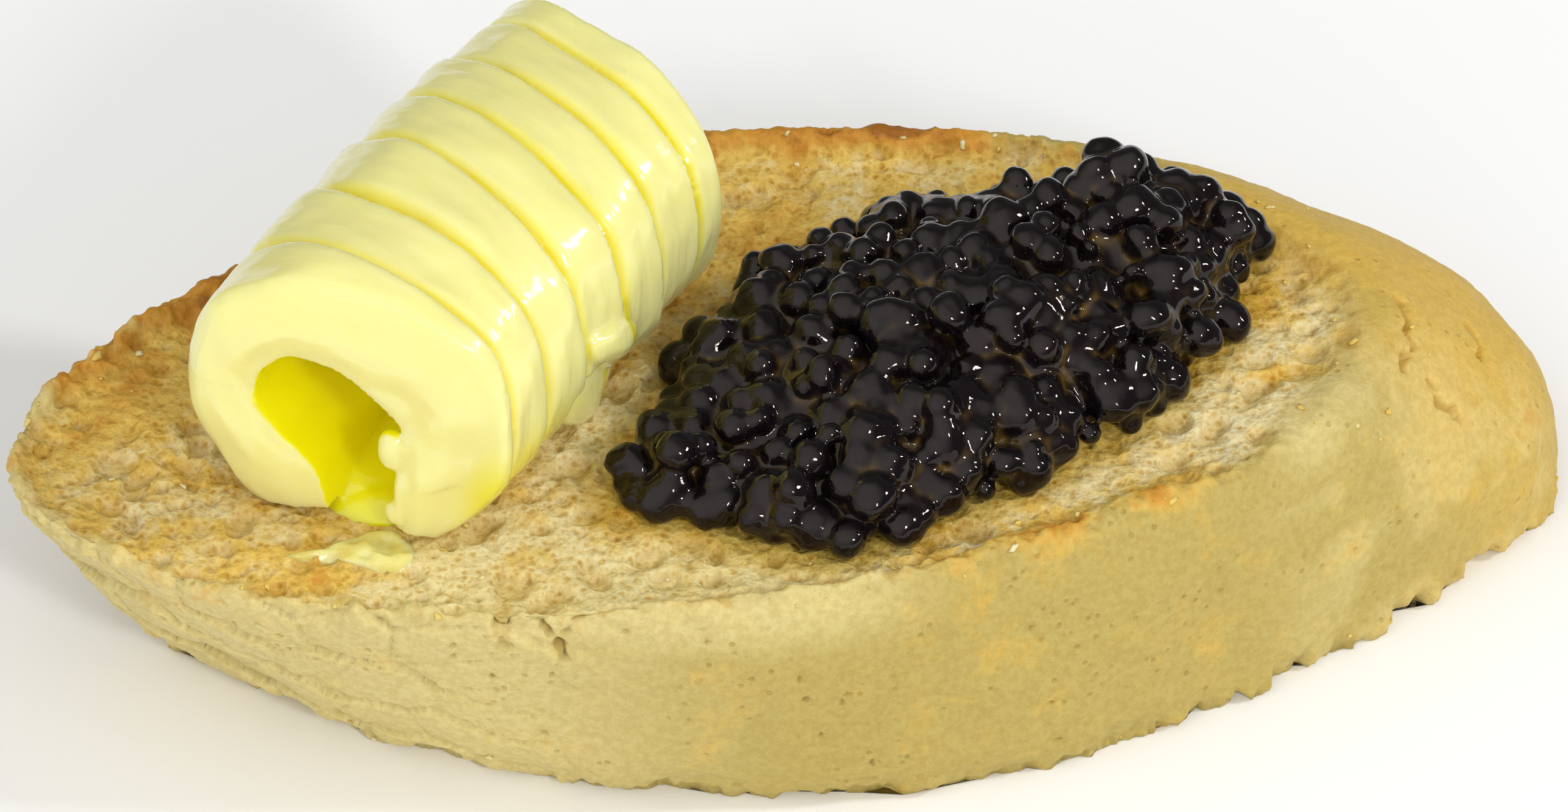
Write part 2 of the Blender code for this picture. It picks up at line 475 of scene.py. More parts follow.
def upper_outline():
    """Corners of the outline of the upper cut face, anticlockwise."""
    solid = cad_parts["bread_slice"].data
    tops = {(round(v.co.x, 6), round(v.co.y, 6)) for v in solid.vertices if v.co.z > OUTLINE_ABOVE}
    corners = sorted(tops)

    def half(points):
        chain = []
        for p in points:
            while len(chain) > 1:
                (ax, ay), (bx, by) = chain[-2:]
                if (bx - ax) * (p[1] - ay) - (by - ay) * (p[0] - ax) > 0:
                    break
                chain.pop()
            chain.append(p)
        return chain[:-1]

    return np.array(half(corners) + half(corners[::-1]))


def off_segment(points, a, b):
    """Distance of each point from the straight line between a and b."""
    along = b - a
    share = np.clip(((points - a) @ along) / max(along @ along, 1e-12), 0, 1)
    return np.linalg.norm(points - a - share[:, None] * along, axis=1)


def rim_distance(points, outline):
    """Distance in plan from the outline of the upper cut face, negative outside it."""
    best = np.full(len(points), 1.0)
    inside = np.ones(len(points), bool)
    flat = points[:, :2]
    for a, b in zip(outline, np.roll(outline, -1, axis=0)):
        best = np.minimum(best, off_segment(flat, a, b))
        inside &= (b - a)[0] * (flat[:, 1] - a[1]) - (b - a)[1] * (flat[:, 0] - a[0]) > 0
    return np.where(inside, best, -best)


def line_distance(points, line_mm):
    """Distance from a line through points given in millimetres."""
    line = np.array(line_mm) * MM
    return np.min([off_segment(points, a, b) for a, b in zip(line[:-1], line[1:])], axis=0)


def spots(points, table):
    """Sum of soft round spots: (x, y, z, radius, amount) in millimetres."""
    total = np.zeros(len(points))
    for x, y, z, radius, amount in table:
        away = np.linalg.norm(points - np.array((x, y, z)) * MM, axis=1) / (radius * MM)
        total += amount * np.exp(-1.5 * away * away)
    return total


# Lines of points in millimetres
CRACKS = (
    ((-22.4, -21.3, 18.6), (-22.7, -21.6, 17.2), (-22.3, -21.6, 15.6)),
    ((-20.7, -22.0, 18.2), (-19.0, -22.1, 15.5), (-19.0, -22.0, 14.3)),
    ((-19.0, -22.1, 15.5), (-17.6, -22.2, 18.2)),
    ((40.9, 0.6, 17.2), (40.5, -1.9, 16.9), (40.6, -4.1, 16.8), (39.3, -6.8, 16.7)),
    ((45.6, 0.6, 13.4), (45.9, -1.7, 12.8)),
    ((41.3, -6.2, 15.2), (41.5, -7.5, 14.3), (43.2, -7.4, 12.5)),
)
# Larger pores: x, y, radius and depth in millimetres, turn in degrees, length over width
WIDE_PORES = (
    (39.7, 0.7, 0.55, 0.9, -79, 1.6),
    (37.6, 3.6, 0.42, 0.7, -60, 1.6),
    (36.7, 2.8, 0.50, 0.7, -50, 1.3),
    (35.8, -0.8, 0.45, 0.7, 20, 1.2),
    (34.6, -0.6, 0.45, 0.7, 10, 1.3),
    (33.7, 1.3, 0.75, 0.6, -40, 1.5),
    (32.6, -11.3, 0.60, 0.9, 80, 1.6),
    (30.2, -14.0, 0.50, 0.7, 10, 1.2),
    (31.2, -13.6, 0.45, 0.7, 10, 1.2),
    (31.7, 4.3, 0.70, 0.6, -30, 1.7),
    (29.6, -7.2, 1.20, 1.0, 20, 1.5),
    (22.6, -13.2, 0.90, 0.8, 20, 1.6),
    (26.0, -10.6, 0.80, 0.8, 25, 1.7),
    (-22.0, -11.6, 0.80, 0.7, 10, 1.5),
    (-18.6, -12.6, 0.60, 0.6, 0, 1.6),
)
# x, y, z and radius in millimetres, amount
BROWN_SPOTS = (
    (-48, -6, 17, 5.5, 0.38),
    (-44, 2, 17.5, 6.0, 0.25),
    (-46, -11, 14, 5.0, 0.30),
    (-38, -15, 17, 5.0, 0.30),
    (-34, -13, 17.2, 4.0, 0.25),
    (-30, -14, 17.2, 4.0, 0.22),
    (10, -18, 18.2, 5.0, 0.30),
    (16, -17.5, 18.4, 4.0, 0.32),
    (4, -19.0, 18.2, 3.5, 0.25),
    (-42, 8, 18, 4.0, 0.60),
    (-50, 0, 17, 3.5, 0.55),
    (-36, 12, 18, 4.0, 0.50),
    (21, -17.0, 18.2, 3.5, 0.26),
    (24, 16, 18, 4.0, 0.28),
    (32, 11, 18, 3.0, 0.22),
    (31, -6, 17.2, 1.6, 0.70),
    (28, -9, 17.2, 2.0, 0.45),
    (34, -7, 17.2, 1.4, 0.55),
)
TORN_SPOTS = (
    (31.5, -12.4, 17.8, 3.4, 1.0),
    (35.0, -9.0, 17.4, 2.6, 0.7),
)


def slice_skin(look):
    """Fine, even mesh of the bread solid, with a few large faces below."""
    bm = bmesh.new()
    bm.from_mesh(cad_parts["bread_slice"].data)
    bmesh.ops.remove_doubles(bm, verts=bm.verts, dist=MERGED)
    mesh = voxel_skin(bm, look.fineness, "toasted_slice")
    bm = bmesh.new()
    bm.from_mesh(mesh)
    below = [f for f in bm.faces if f.normal.z < -0.9 and f.calc_center_median().z < 0.3 * MM]
    bmesh.ops.delete(bm, geom=below, context="FACES")
    rim = [e for e in bm.edges if e.is_boundary]
    filled = bmesh.ops.holes_fill(bm, edges=rim, sides=0)
    bmesh.ops.triangulate(bm, faces=filled["faces"])
    bm.to_mesh(mesh)
    bm.free()
    return mesh


def soften_rim(mesh, outline):
    """Rounds the step between the crumb and the crust, and rounds it away at the domed end."""
    edges = edges_of(mesh)
    points = points_of(mesh)
    away = rim_distance(points, outline) / MM
    x, y, z = (points / MM).T
    at_dome = ease(x, 24, 31)
    back_less = np.maximum(0.55 + 0.45 * ease(-y, -4, 4), at_dome)
    by_rim = np.exp(-((away / (3.2 + 3.0 * at_dome)) ** 2)) * ease(z, 13.0, 16.0)
    by_dome = at_dome * np.exp(-((away / 7.0) ** 2))
    for _ in range(46):
        points += (spread(points, edges) - points) * (0.75 * by_rim * back_less)[:, None]
    by_dome = by_dome * ease(points[:, 2] / MM, 11.0, 15.0)
    for _ in range(70):
        points += (spread(points, edges) - points) * (0.85 * by_dome)[:, None]
    place_points(mesh, points)


def open_pores(points, crumb, count):
    """How deep and how hollow each place is, in metres and 0 to 1, for large and for scattered pores; the
    material darkens hollow places as painted shade.
    """
    rng = random.Random(41)
    hollow = np.zeros(len(points))
    dent = np.zeros(len(points))
    on_top = np.where(crumb > 0.05)[0]
    top = points[on_top]
    pores = []
    for x, y, size, deep, turn, long in WIDE_PORES:
        pores.append((x * MM, y * MM, size * MM, deep * MM, math.radians(turn), long))
    for _ in range(count):
        middle = top[rng.randrange(len(top))]
        size = (0.32 + 1.0 * rng.random() ** 4.5) * MM
        deep = rng.uniform(0.45, 0.95) * min(size, 0.7 * MM)
        pores.append((middle[0], middle[1], size, deep, rng.gauss(0.1, 0.9), rng.uniform(1.0, 1.6)))
    for x, y, size, deep, turn, long in pores:
        flat = top[:, :2] - np.array((x, y))
        across = flat @ np.array((-math.sin(turn), math.cos(turn)))
        along = flat @ np.array((math.cos(turn), math.sin(turn))) / long
        inside = 1 - ease(np.sqrt(across**2 + along**2) / size, 0.5, 1.0)
        dent[on_top] = np.maximum(dent[on_top], inside * deep)
        hollow[on_top] = np.maximum(hollow[on_top], inside * min(1, deep / (0.6 * MM)))
    return dent, hollow


def torn_foot(rest, normals, points):
    """Pushes the lower edge out and in, in plan, and lifts it here and there."""
    x, _, z = (rest / MM).T
    outwards = normals * np.array((1, 1, 0))
    level = np.linalg.norm(outwards, axis=1)
    outwards = outwards / np.maximum(level, 1e-6)[:, None] * np.minimum(level * 3, 1)[:, None]
    torn = rough(rest, 3.4, 21, 4, (1, 1, 6)) + 0.6 * rough(rest, 1.3, 22, 2, (1, 1, 4))
    right = ease(x, 15, 32)
    steps = rough(rest, 5.5, 25, 3, (1, 1, 9)) + 0.45 * rough(rest, 1.8, 26, 2, (1, 1, 9))
    ledges = ease(steps, -0.08, 0.16) - 0.5
    foot = 1 - ease(z, 0.1, 3.0)
    push = foot * ((0.6 + 0.2 * right) * torn + (0.3 + 0.85 * right) * ledges - 0.2) * MM
    points += outwards * push[:, None]
    ragged = rough(rest, 2.6, 24, 3, (1, 1, 8))
    points[:, 2] += 0.5 * ease(ragged, 0.08, 0.42) * (1 - ease(z, 0.0, 5.0)) * np.minimum(level * 2, 1) * MM
    points[rest[:, 2] < 0.25 * MM, 2] = 0
    points[:, 2] = np.maximum(points[:, 2], 0)
    return 0.3 * foot * ease(torn, 0.2, 0.8)


def shape_slice(mesh, look):
    """Crumb, pores, crust, cracks and ragged edges, and the numbers that the material reads."""
    outline = upper_outline()
    soften_rim(mesh, outline)
    rest = points_of(mesh)
    normals = normals_of(mesh)
    away = rim_distance(rest, outline) / MM
    x, y, z = (rest / MM).T
    upper = ease(normals[:, 2], 0.2, 0.6) * ease(z, 13.5, 15.5)
    at_dome = ease(x, 26, 34)
    crumb = upper * ease((away + 0.9 * rough(rest, 3.0, 61, 3) + 0.2) / (1.7 + 2.8 * at_dome), 0, 1)
    side = 1 - crumb
    dent, hollow = open_pores(rest, crumb, look.pore_count)

    # spongy crumb: moved is how far out a place goes, in metres
    fluff = rough(rest, 1.5, 1, 4)
    swell = rough(rest, 9.0, 2, 2)
    fine = rough(rest, 0.75, 3, 2)
    cell = cells(rest, 1.9, 4)
    walls = 1 - ease(cell[:, 1] - cell[:, 0], 0.05, 0.35)
    moved = crumb * (0.08 * fluff + 0.22 * swell + 0.06 * fine + 0.05 * walls) * MM
    moved -= crumb * dent
    foam = cells(rest * np.array((1, 1.25, 1)), 1.15, 5)[:, 0]
    pits = crumb * (1 - ease(foam, 0.12, 0.48)) * ease(rough(rest, 5.0, 63, 3), -0.15, 0.4)
    moved -= PIT_DEPTH * pits
    hollow = np.maximum(hollow, 0.65 * pits)

    # crust: gentle waves, and scales at the narrow end
    scaly = ease(-x, 10, 30)
    flake = cells(rest * np.array((1, 1, 1.5)), 6.0, 6, (0.55, 0.0, 0.85))
    step = 0.4 * ease(flake[:, 1] - flake[:, 0], 0.0, 0.12) + 1.3 * flake[:, 2]
    moved += side * (0.34 * swell + 0.05 * fine + (0.05 + 0.12 * scaly) * fluff) * MM
    moved += side * (0.02 + 0.34 * scaly) * (step - 0.4) * MM

    # pinholes in the crust
    pin = cells(rest, 1.75, 9)[:, 0]
    holes = side * (1 - ease(pin, 0.08, 0.19)) * ease(rough(rest, 7, 12, 2), -0.05, 0.3)
    holes *= 1 - 0.85 * ease(x, 20, 30)
    moved -= PINHOLE_DEPTH * holes
    hollow = np.maximum(hollow, 0.8 * holes)

    # ragged rims, and a raised lip along the front right
    rim = np.exp(-((away / 1.1) ** 2)) * ease(z, 15.5, 17.5) * (1 - 0.8 * at_dome)
    moved += rim * (0.50 - 0.25 * ease(y, 8, 14)) * rough(rest, 2.2, 14, 3) * MM
    moved += rim * 0.18 * fine * MM
    in_front = ease(-y, 4, 8)
    lip = np.exp(-(((away - 1.0) / 1.2) ** 2)) * ease(x, 2, 7) * (1 - ease(x, 22, 27))
    moved += LIP_HEIGHT * lip * upper * in_front

    jagged = np.stack([0.6 * MM * rough(rest, 1.5, 91 + axis, 2) for axis in range(3)], axis=1)
    for line in CRACKS:
        gap = line_distance(rest + jagged, line) / MM + 0.12 * fluff
        cut = 1 - ease(gap, 0.10, 0.48)
        moved -= CRACK_DEPTH * cut
        hollow = np.maximum(hollow, 0.9 * cut)

    points = rest + normals * moved[:, None]
    foot_browning = torn_foot(rest, normals, points)

    mottled = rough(rest, 6.0, 31, 3)
    patch = rough(rest, 2.2, 32, 3)
    browning = 0.30 + 0.30 * mottled + 0.22 * patch + spots(rest, BROWN_SPOTS)
    browning += 0.35 * np.clip(moved / MM, -0.6, 0.6) * crumb
    back = ease(y, 6, 16) * ease(z, 14.5, 17.5)
    browning += 0.95 * back * np.exp(-((away / 1.5) ** 2)) * ease(24 - x, 0, 12)
    browning += 0.34 * lip * in_front * ease(0.3 + patch, 0.0, 0.5)
    browning += 0.30 * ease(y, -1, 8) * crumb
    browning += 0.32 * rim * ease(0.2 + mottled, -0.2, 0.5)
    browning += foot_browning
    browning += 0.30 * ease(x, 34, 50) * side

    # palest crust: the long side's left part, the front rim, torn patches and the dome's front
    near_front = np.exp(-((np.minimum(away, 0) + np.maximum(away - 2, 0)) ** 2) / 22) * ease(-y, 6, 12)
    near_front *= ease(x, -33, -24) * (1 - ease(x, -2, 8)) * ease(z, 12.5, 17)
    cream = 0.45 * side * at_dome * (1 - ease(y, -8, 4)) * ease(mottled + 0.5 * patch, -0.25, 0.3)
    fair = np.max([ease(-x, 2, 26) * side, near_front, spots(rest, TORN_SPOTS), cream], axis=0)
    domed = ease(x + 0.5 * y + 3 * mottled, 30, 42) * (0.45 + 0.55 * ease(z + 0.3 * y, 4, 14))

    paint(mesh, "browning", np.clip(browning, 0, 2))
    paint(mesh, "rind", np.clip(side, 0, 1))
    # painted shade: the material darkens pores, pits, pinholes and cracks by how hollow they are
    paint(mesh, "hollow", hollow)
    paint(mesh, "domed", domed)
    # oil stain and painted shadow round the toppings
    paint(mesh, "stain", oil_stain_and_shade(rest) * upper)
    paint(mesh, "fair", np.clip(fair, 0, 1))
    place_points(mesh, points)


def oil_stain_and_shade(points):
    """Where oil and butter have soaked into the crumb, with painted shadow round the toppings' feet, 0 to 1.
    """
    # toppings with how far their oil stain and painted shadow reach, in millimetres, and its strength
    wet = (
        (tree_of(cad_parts["caviar_heap"].data), 2.2, 1.0),
        (tree_of(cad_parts["butter_curl"].data), 2.0, 0.6),
    )
    edge = rough(points, 2.5, 51, 3)
    amount = np.zeros(len(points))
    for row, point in enumerate(points.tolist()):
        if point[2] < SOAK_SHADE_ABOVE:
            continue
        for tree, reach, strength in wet:
            distance = tree.find_nearest(Vector(point), SOAK_SHADE_REACH)[3]
            if distance is not None:
                share = 1 - min(1, distance / (reach * MM) / (1 + 0.5 * edge[row]))
                amount[row] = max(amount[row], strength * max(0, share) ** 0.6)
    return amount


def bread_material(look):
    """Pale, porous crumb and golden crust, browned by place, with painted shade in pores and cracks and round
    the toppings.
    """
    m = Maker("toasted_bread")
    browning, rind, hollow = m.read("browning"), m.read("rind"), m.read("hollow")
    domed, stain, fair = m.read("domed"), m.read("stain"), m.read("fair")
    grain = m.cloud(0.55, 4, 0.7)
    large_cells = m.cells(0.8)
    small_cells = m.cells(0.42)
    open_crumb = m.minus(1.0, m.times(rind, 0.9))

    toasted = m.plus(browning, m.times(m.minus(m.cloud(3.2, 5, 0.62), 0.5), 1.5))
    toasted = m.plus(toasted, m.times(m.minus(m.cloud(0.9, 3, 0.6), 0.5), 0.8))
    crumb = m.mix(m.ramp(toasted, 0.1, 0.75), tuple(look.crumb_pale), tuple(look.crumb_golden))
    crust = m.mix(domed, tuple(look.rind_pale), tuple(look.rind_golden))
    crust = m.mix(m.ramp(toasted, 0.35, 1.1), crust, tuple(look.rind_golden))
    base = m.mix(rind, crumb, crust)
    base = m.mix(m.times(fair, 0.65), base, tuple(look.crumb_cream))
    # painted shade: the crumb's foam cells darker towards their middles, where the bump makes pits
    large_pit_shade = m.mix(m.ramp(large_cells, 0.08, 0.42), colour(226, 206, 158), WHITE)
    small_pit_shade = m.mix(m.ramp(small_cells, 0.1, 0.5), colour(240, 230, 204), WHITE)
    base = m.stained_and_shaded(base, large_pit_shade, open_crumb)
    base = m.stained_and_shaded(base, small_pit_shade, open_crumb)
    base = m.stained_and_shaded(base, m.mix(m.ramp(grain, 0.35, 0.65), colour(242, 237, 224), WHITE))
    base = m.mix(m.ramp(toasted, 0.7, 1.35), base, tuple(look.browned))
    base = m.mix(m.ramp(toasted, 1.35, 1.9), base, tuple(look.singed))
    # painted shade in pores, pits, pinholes and cracks
    base = m.stained_and_shaded(base, (0.78, 0.66, 0.40), m.times(hollow, 0.75))
    # painted shadow round the toppings, together with the real oil stain
    base = m.stained_and_shaded(base, (0.76, 0.60, 0.14), m.times(stain, 0.9))
    # painted shade: crust pinholes darkened where shade falls in them
    pinholes = m.ramp(m.cells(0.95), 0.10, 0.26, 1.0, 0.0)
    pinholes = m.times(m.times(pinholes, m.ramp(m.cloud(5.0, 2), 0.5, 0.62)), rind)
    base = m.stained_and_shaded(base, (0.72, 0.58, 0.28), m.times(pinholes, 0.5))

    height = m.plus(m.times(grain, 0.35), m.times(m.cloud(0.2, 3, 0.6), 0.4))
    height = m.minus(height, m.times(pinholes, 0.8))
    height = m.times(height, m.minus(1.0, m.times(rind, 0.35)))
    foam = m.plus(large_cells, m.times(small_cells, 0.4))
    return m.set(
        Base_Color=base,
        Roughness=m.ramp(stain, 0.0, 1.0, 0.58, 0.34),
        Specular_IOR_Level=0.32,
        Subsurface_Weight=0.3,
        Subsurface_Radius=(0.9, 0.70, 0.34),
        Subsurface_Scale=1.4 * MM,
        Normal=m.bump(m.plus(height, m.times(foam, open_crumb)), 0.36, 0.6),
    )


class TOAST_OT_slice(bpy.types.Operator):
    """Makes the toasted slice of bread with its pores, crust and cracks"""

    bl_idname = "toast.slice"
    bl_label = "Toasted slice"

    def execute(self, context):
        look = context.scene.toast_look
        mesh = slice_skin(look)
        shape_slice(mesh, look)
        finish_piece("toasted_slice", mesh, bread_material(look), "toasted_bread", "bread_slice")
        return {"FINISHED"}


# ---------------------------------------------------------------- butter curl

CURL_MIDDLE = Vector((-30.616 * MM, -9.554 * MM, CURL_LOW.z))
CURL_TURN = math.radians(49.5)
CURL_ALONG = Vector((math.cos(CURL_TURN), math.sin(CURL_TURN), 0))
CURL_ACROSS = Vector((math.sin(CURL_TURN), -math.cos(CURL_TURN), 0))
CURL_HALF = 11.2 * MM
CURL_RISE = 9.7 * MM
CURL_SQUARENESS = 0.86
CURL_ARC = (math.radians(-62), math.radians(242))
AROUND = 190  # faces round the section
CAP_ROWS = 12  # rows of faces across the wall at each end
RIDGE_STEPS = 26  # rows of faces along one ridge
# Where each ridge begins, in millimetres, and how the groove slants there, in degrees
RIDGES = ((-0.4, 12), (3.3, -1), (8.7, -8), (14.1, -13), (19.1, -14), (23.9, -14), (28.6, -14), (31.8, -12))
# Edge of the hollow: sideways and up
HOLLOW_MM = (
    (-1.1, 0.6),
    (-2.2, 3.9),
    (-4.2, 6.0),
    (-5.7, 8.9),
    (-5.2, 11.6),
    (-2.4, 13.0),
    (1.2, 11.5),
    (3.8, 9.0),
    (3.2, 6.6),
    (3.6, 3.8),
    (2.7, 0.6),
)


def catmull(knots, share):
    """Point on a smooth line through knots, share 0 to 1."""
    place = share * (len(knots) - 1)
    first = min(int(place), len(knots) - 2)
    t = place - first
    p0, p1 = knots[max(first - 1, 0)], knots[first]
    p2, p3 = knots[first + 1], knots[min(first + 2, len(knots) - 1)]
    return [
        0.5 * (2 * b + (c - a) * t + (2 * a - 5 * b + 4 * c - d) * t * t + (3 * b - a - 3 * c + d) * t**3)
        for a, b, c, d in zip(p0, p1, p2, p3)
    ]


def outer_edge(share):
    """Outer side of the curl's section: (sideways, up)."""
    angle = CURL_ARC[0] + (CURL_ARC[1] - CURL_ARC[0]) * share

    def squared(value):
        return math.copysign(abs(value) ** CURL_SQUARENESS, value)

    rise = CURL_RISE * (1.12 if math.sin(angle) < 0 else 1)
    return CURL_HALF * squared(math.cos(angle)), max(CURL_RISE + rise * squared(math.sin(angle)), 0)


def inner_edge(share):
    """Inner side of the curl's section, from the same foot round to the other: (sideways, up)."""
    side, up = catmull(HOLLOW_MM[::-1], share)
    return side * MM, max(up, 0) * MM


def within(value):
    """The value, kept from 0 to 1."""
    return min(1.0, max(0.0, value))


def groove_profile(share):
    """0 on a ridge's top and 1 at the bottom of the groove, share 0 to 1 from front to back of the ridge."""
    shoulder = max(0.0, 1 - share / 0.2) ** 1.9
    lean = 0.24 * (1 - share) ** 1.3
    drop = 1 - within((1 - share) / 0.05) ** 0.6
    return max(shoulder + lean * (1 - shoulder), drop)


def ridge_place(distance):
    """(ridge number, share through it, slant) at a distance in millimetres."""
    for number, ((begin, slant), (end, next_slant)) in enumerate(zip(RIDGES, RIDGES[1:])):
        if distance <= end or number == len(RIDGES) - 2:
            share = (distance - begin) / (end - begin)
            return number, share, slant + (next_slant - slant) * share
    return None


def ridge_depth(distance, share, arm, look):
    """How far below the curl's full section its ridged face lies, in metres."""
    number, along, _ = ridge_place(distance)
    angle = share * 6.0
    shifted = along + 0.05 * noise.noise((angle * 1.4, number * 3.7, 1.5))
    own = 1 + 0.35 * noise.noise((number * 5.1, angle * 0.8, 7.0))
    flank = 1 + 1.1 * max(0, 1 - share / 0.22) - 0.3 * max(0, 1 - abs(share - 0.55) / 0.2)
    depth = look.groove_depth * groove_profile(within(shifted)) * own * flank
    depth += 0.42 * MM * noise.noise((number * 9.3, angle * 1.1, 3.0)) + 0.1 * MM
    depth += 0.3 * MM * noise.noise((distance * 0.22, angle * 1.3, 23.0))
    depth += 0.14 * MM * noise.fractal((distance * 0.5, angle * 2.2, 11.0 + number), 1.0, 2.0, 3)
    upper_left = max(0.0, (0.9 * arm.y - 0.45 * arm.x) / arm.length)
    depth += 1.4 * MM * within((distance - 17) / 14) * upper_left
    up = (arm.y + CURL_RISE) / MM
    if share < 0.35:
        under_lip = within(distance - 12.6) * within(19.2 - distance)
        depth += 1.3 * MM * under_lip * within(6.9 - up)
    ends = ((distance - RIDGES[0][0], 1.5, 1.7), (RIDGES[-1][0] - distance, 1.6, 1.9))
    for from_end, reach, deep in ends:
        if from_end < reach:
            bend = 1 - from_end / reach
            depth = max(depth, deep * MM * (1 - math.sqrt(max(0, 1 - bend**2))))
    return depth


def curl_point(distance, share, ridged, look):
    """Point on the curl: distance along it in millimetres, share round its section."""
    number, _, slant = ridge_place(distance)
    side, up = outer_edge(share) if ridged else inner_edge(share)
    arm = Vector((side, up - CURL_RISE))
    angle = share * 6.0
    place = distance * MM + math.tan(math.radians(slant)) * side
    if ridged:
        fade = min(1.0, up / (0.16 * 2 * CURL_RISE))
        arm *= 1 - fade * ridge_depth(distance, share, arm, look) / arm.length
        place += 0.25 * MM * noise.noise((angle * 1.7, number * 2.1, 19.0))
    else:
        swell = noise.fractal((distance * 0.18, angle * 1.3, 31.0), 1.0, 2.0, 2)
        arm *= 1 + 0.5 * MM * swell / arm.length
    return CURL_MIDDLE + CURL_ALONG * place + CURL_ACROSS * arm.x + Vector((0, 0, arm.y + CURL_RISE))


def curl_stations():
    """Distances along the curl, closest together at the grooves."""
    stations = []
    for (begin, _), (end, _) in zip(RIDGES, RIDGES[1:]):
        for step in range(RIDGE_STEPS):
            share = step / RIDGE_STEPS
            closer = 0.12 * math.sin(2 * math.pi * share) / (2 * math.pi)
            stations.append(begin + (end - begin) * (share - closer))
    return stations + [RIDGES[-1][0]]


def curl_parts(look):
    """The curl as one closed tube with caps and its inner side, in one bmesh."""
    bm = bmesh.new()
    stations = curl_stations()
    rows = [("front", k / CAP_ROWS) for k in range(CAP_ROWS, 0, -1)]
    rows += [("tube", d) for d in stations]
    rows += [("back", k / CAP_ROWS) for k in range(1, CAP_ROWS + 1)]

    def cap_point(distance, share, inwards, way):
        outer = curl_point(distance, share, True, look)
        inner = curl_point(distance, share, False, look)
        dish = 0.45 * math.sin(math.pi * inwards)
        dish += 0.5 * noise.fractal((share * 5, inwards * 1.5, 5.0 + way), 1.0, 2.0, 3)
        dish *= min(1, 4 * inwards * (1 - inwards) + 0.15)
        return outer.lerp(inner, inwards) + CURL_ALONG * (way * dish * MM)

    grid = bmesh.ops.create_grid(bm, x_segments=AROUND, y_segments=len(rows) - 1, size=0.5)
    for vert in grid["verts"]:
        share = min(max(vert.co.x + 0.5, 0), 1)
        kind, amount = rows[round((vert.co.y + 0.5) * (len(rows) - 1))]
        if kind == "tube":
            vert.co = curl_point(amount, share, True, look)
        elif kind == "front":
            vert.co = cap_point(stations[0], share, amount, -1)
        else:
            vert.co = cap_point(stations[-1], share, amount, 1)
    inner = bmesh.ops.create_grid(bm, x_segments=AROUND, y_segments=40, size=0.5)
    for vert in inner["verts"]:
        share = min(max(vert.co.x + 0.5, 0), 1)
        distance = stations[0] + (stations[-1] - stations[0]) * (vert.co.y + 0.5)
        vert.co = curl_point(distance, share, False, look)
    bmesh.ops.remove_doubles(bm, verts=bm.verts, dist=0.02 * MM)
    rim = [e for e in bm.edges if e.is_boundary]
    bmesh.ops.holes_fill(bm, edges=rim, sides=0)
    bmesh.ops.triangulate(bm, faces=[f for f in bm.faces if len(f.verts) > 4])
    bmesh.ops.recalc_face_normals(bm, faces=bm.faces)
    return bm


def add_blob(bm, place_mm, sizes_mm, turn, seed):
    """Lumpy egg of butter, in the curl's own directions: (along, across, up)."""
    ball = bmesh.ops.create_icosphere(bm, subdivisions=4, radius=1.0)
    along, across, up = place_mm
    middle = CURL_MIDDLE + CURL_ALONG * along * MM + CURL_ACROSS * across * MM + Vector((0, 0, up * MM))
    axes = Matrix((CURL_ALONG, CURL_ACROSS, Vector((0, 0, 1)))).transposed()
    for angle, axis in zip(turn, "XYZ"):
        axes = axes @ Matrix.Rotation(math.radians(angle), 3, axis)
    for vert in ball["verts"]:
        swell = 1 + 0.16 * noise.noise(vert.co * 1.4 + Vector((seed, seed, seed)))
        local = Vector([c * s * MM * swell for c, s in zip(vert.co, sizes_mm)])
        vert.co = middle + axes @ local


# Middle and half sizes in millimetres, turn in degrees
BLOBS = (
    # drooping lip of a middle ridge, with the layer under it
    ((15.3, 10.4, 8.4), (3.3, 1.3, 1.7), (0, 28, -6)),
    ((16.4, 9.9, 9.6), (2.4, 1.1, 2.0), (0, 20, 0)),
    ((15.6, 8.0, 3.4), (3.0, 1.1, 3.6), (0, 0, 0)),
    # inner layer that closes the hollow below
    ((14.5, -0.8, 6.6), (8.2, 5.6, 6.4), (0, 0, 0)),
    ((12.6, -0.6, -1.0), (12.8, 6.4, 3.6), (0, 0, 0)),
    ((4.6, -0.3, -0.7), (4.9, 4.8, 1.9), (0, 0, 0)),
    # small knobs on the hollow's right edge
    ((0.5, 3.2, 6.7), (1.0, 1.0, 1.6), (0, 0, 10)),
    ((0.5, 3.9, 3.6), (0.8, 0.6, 2.7), (0, 8, 0)),
    ((0.2, 3.4, 1.7), (0.7, 0.6, 1.0), (0, -15, 0)),
)


def curl_coordinates(points):
    """Distance along the curl in millimetres, sideways and up, for points on it."""
    rest = points - np.array(CURL_MIDDLE)
    along = rest @ np.array(CURL_ALONG) / MM
    side = rest @ np.array(CURL_ACROSS) / MM
    up = rest[:, 2] / MM
    places = np.array([r[0] for r in RIDGES], float)
    slants = np.tan(np.radians([r[1] for r in RIDGES]))
    distance = along.copy()
    for _ in range(8):  # the slant changes along the curl, so this closes in on the answer
        distance = along - side * np.interp(distance, places, slants)
    return distance, side, up


def hollow_distance(side, up):
    """How far outside the hollow's outline places in the section are, in millimetres."""
    outline = np.array([(HOLLOW_MM[0][0], -3.0), *HOLLOW_MM, (HOLLOW_MM[-1][0], -3.0)])
    inside = np.zeros(len(side), bool)
    best = np.full(len(side), 99.0)
    places = np.stack((side, up), axis=1)
    for a, b in zip(outline, np.roll(outline, -1, axis=0)):
        best = np.minimum(best, off_segment(places, a, b))
        crosses = (a[1] > up) != (b[1] > up)
        at = a[0] + (up - a[1]) / (b[1] - a[1] if b[1] != a[1] else 1) * (b[0] - a[0])
        inside ^= crosses & (side < at)
    return np.where(inside, 0, best)


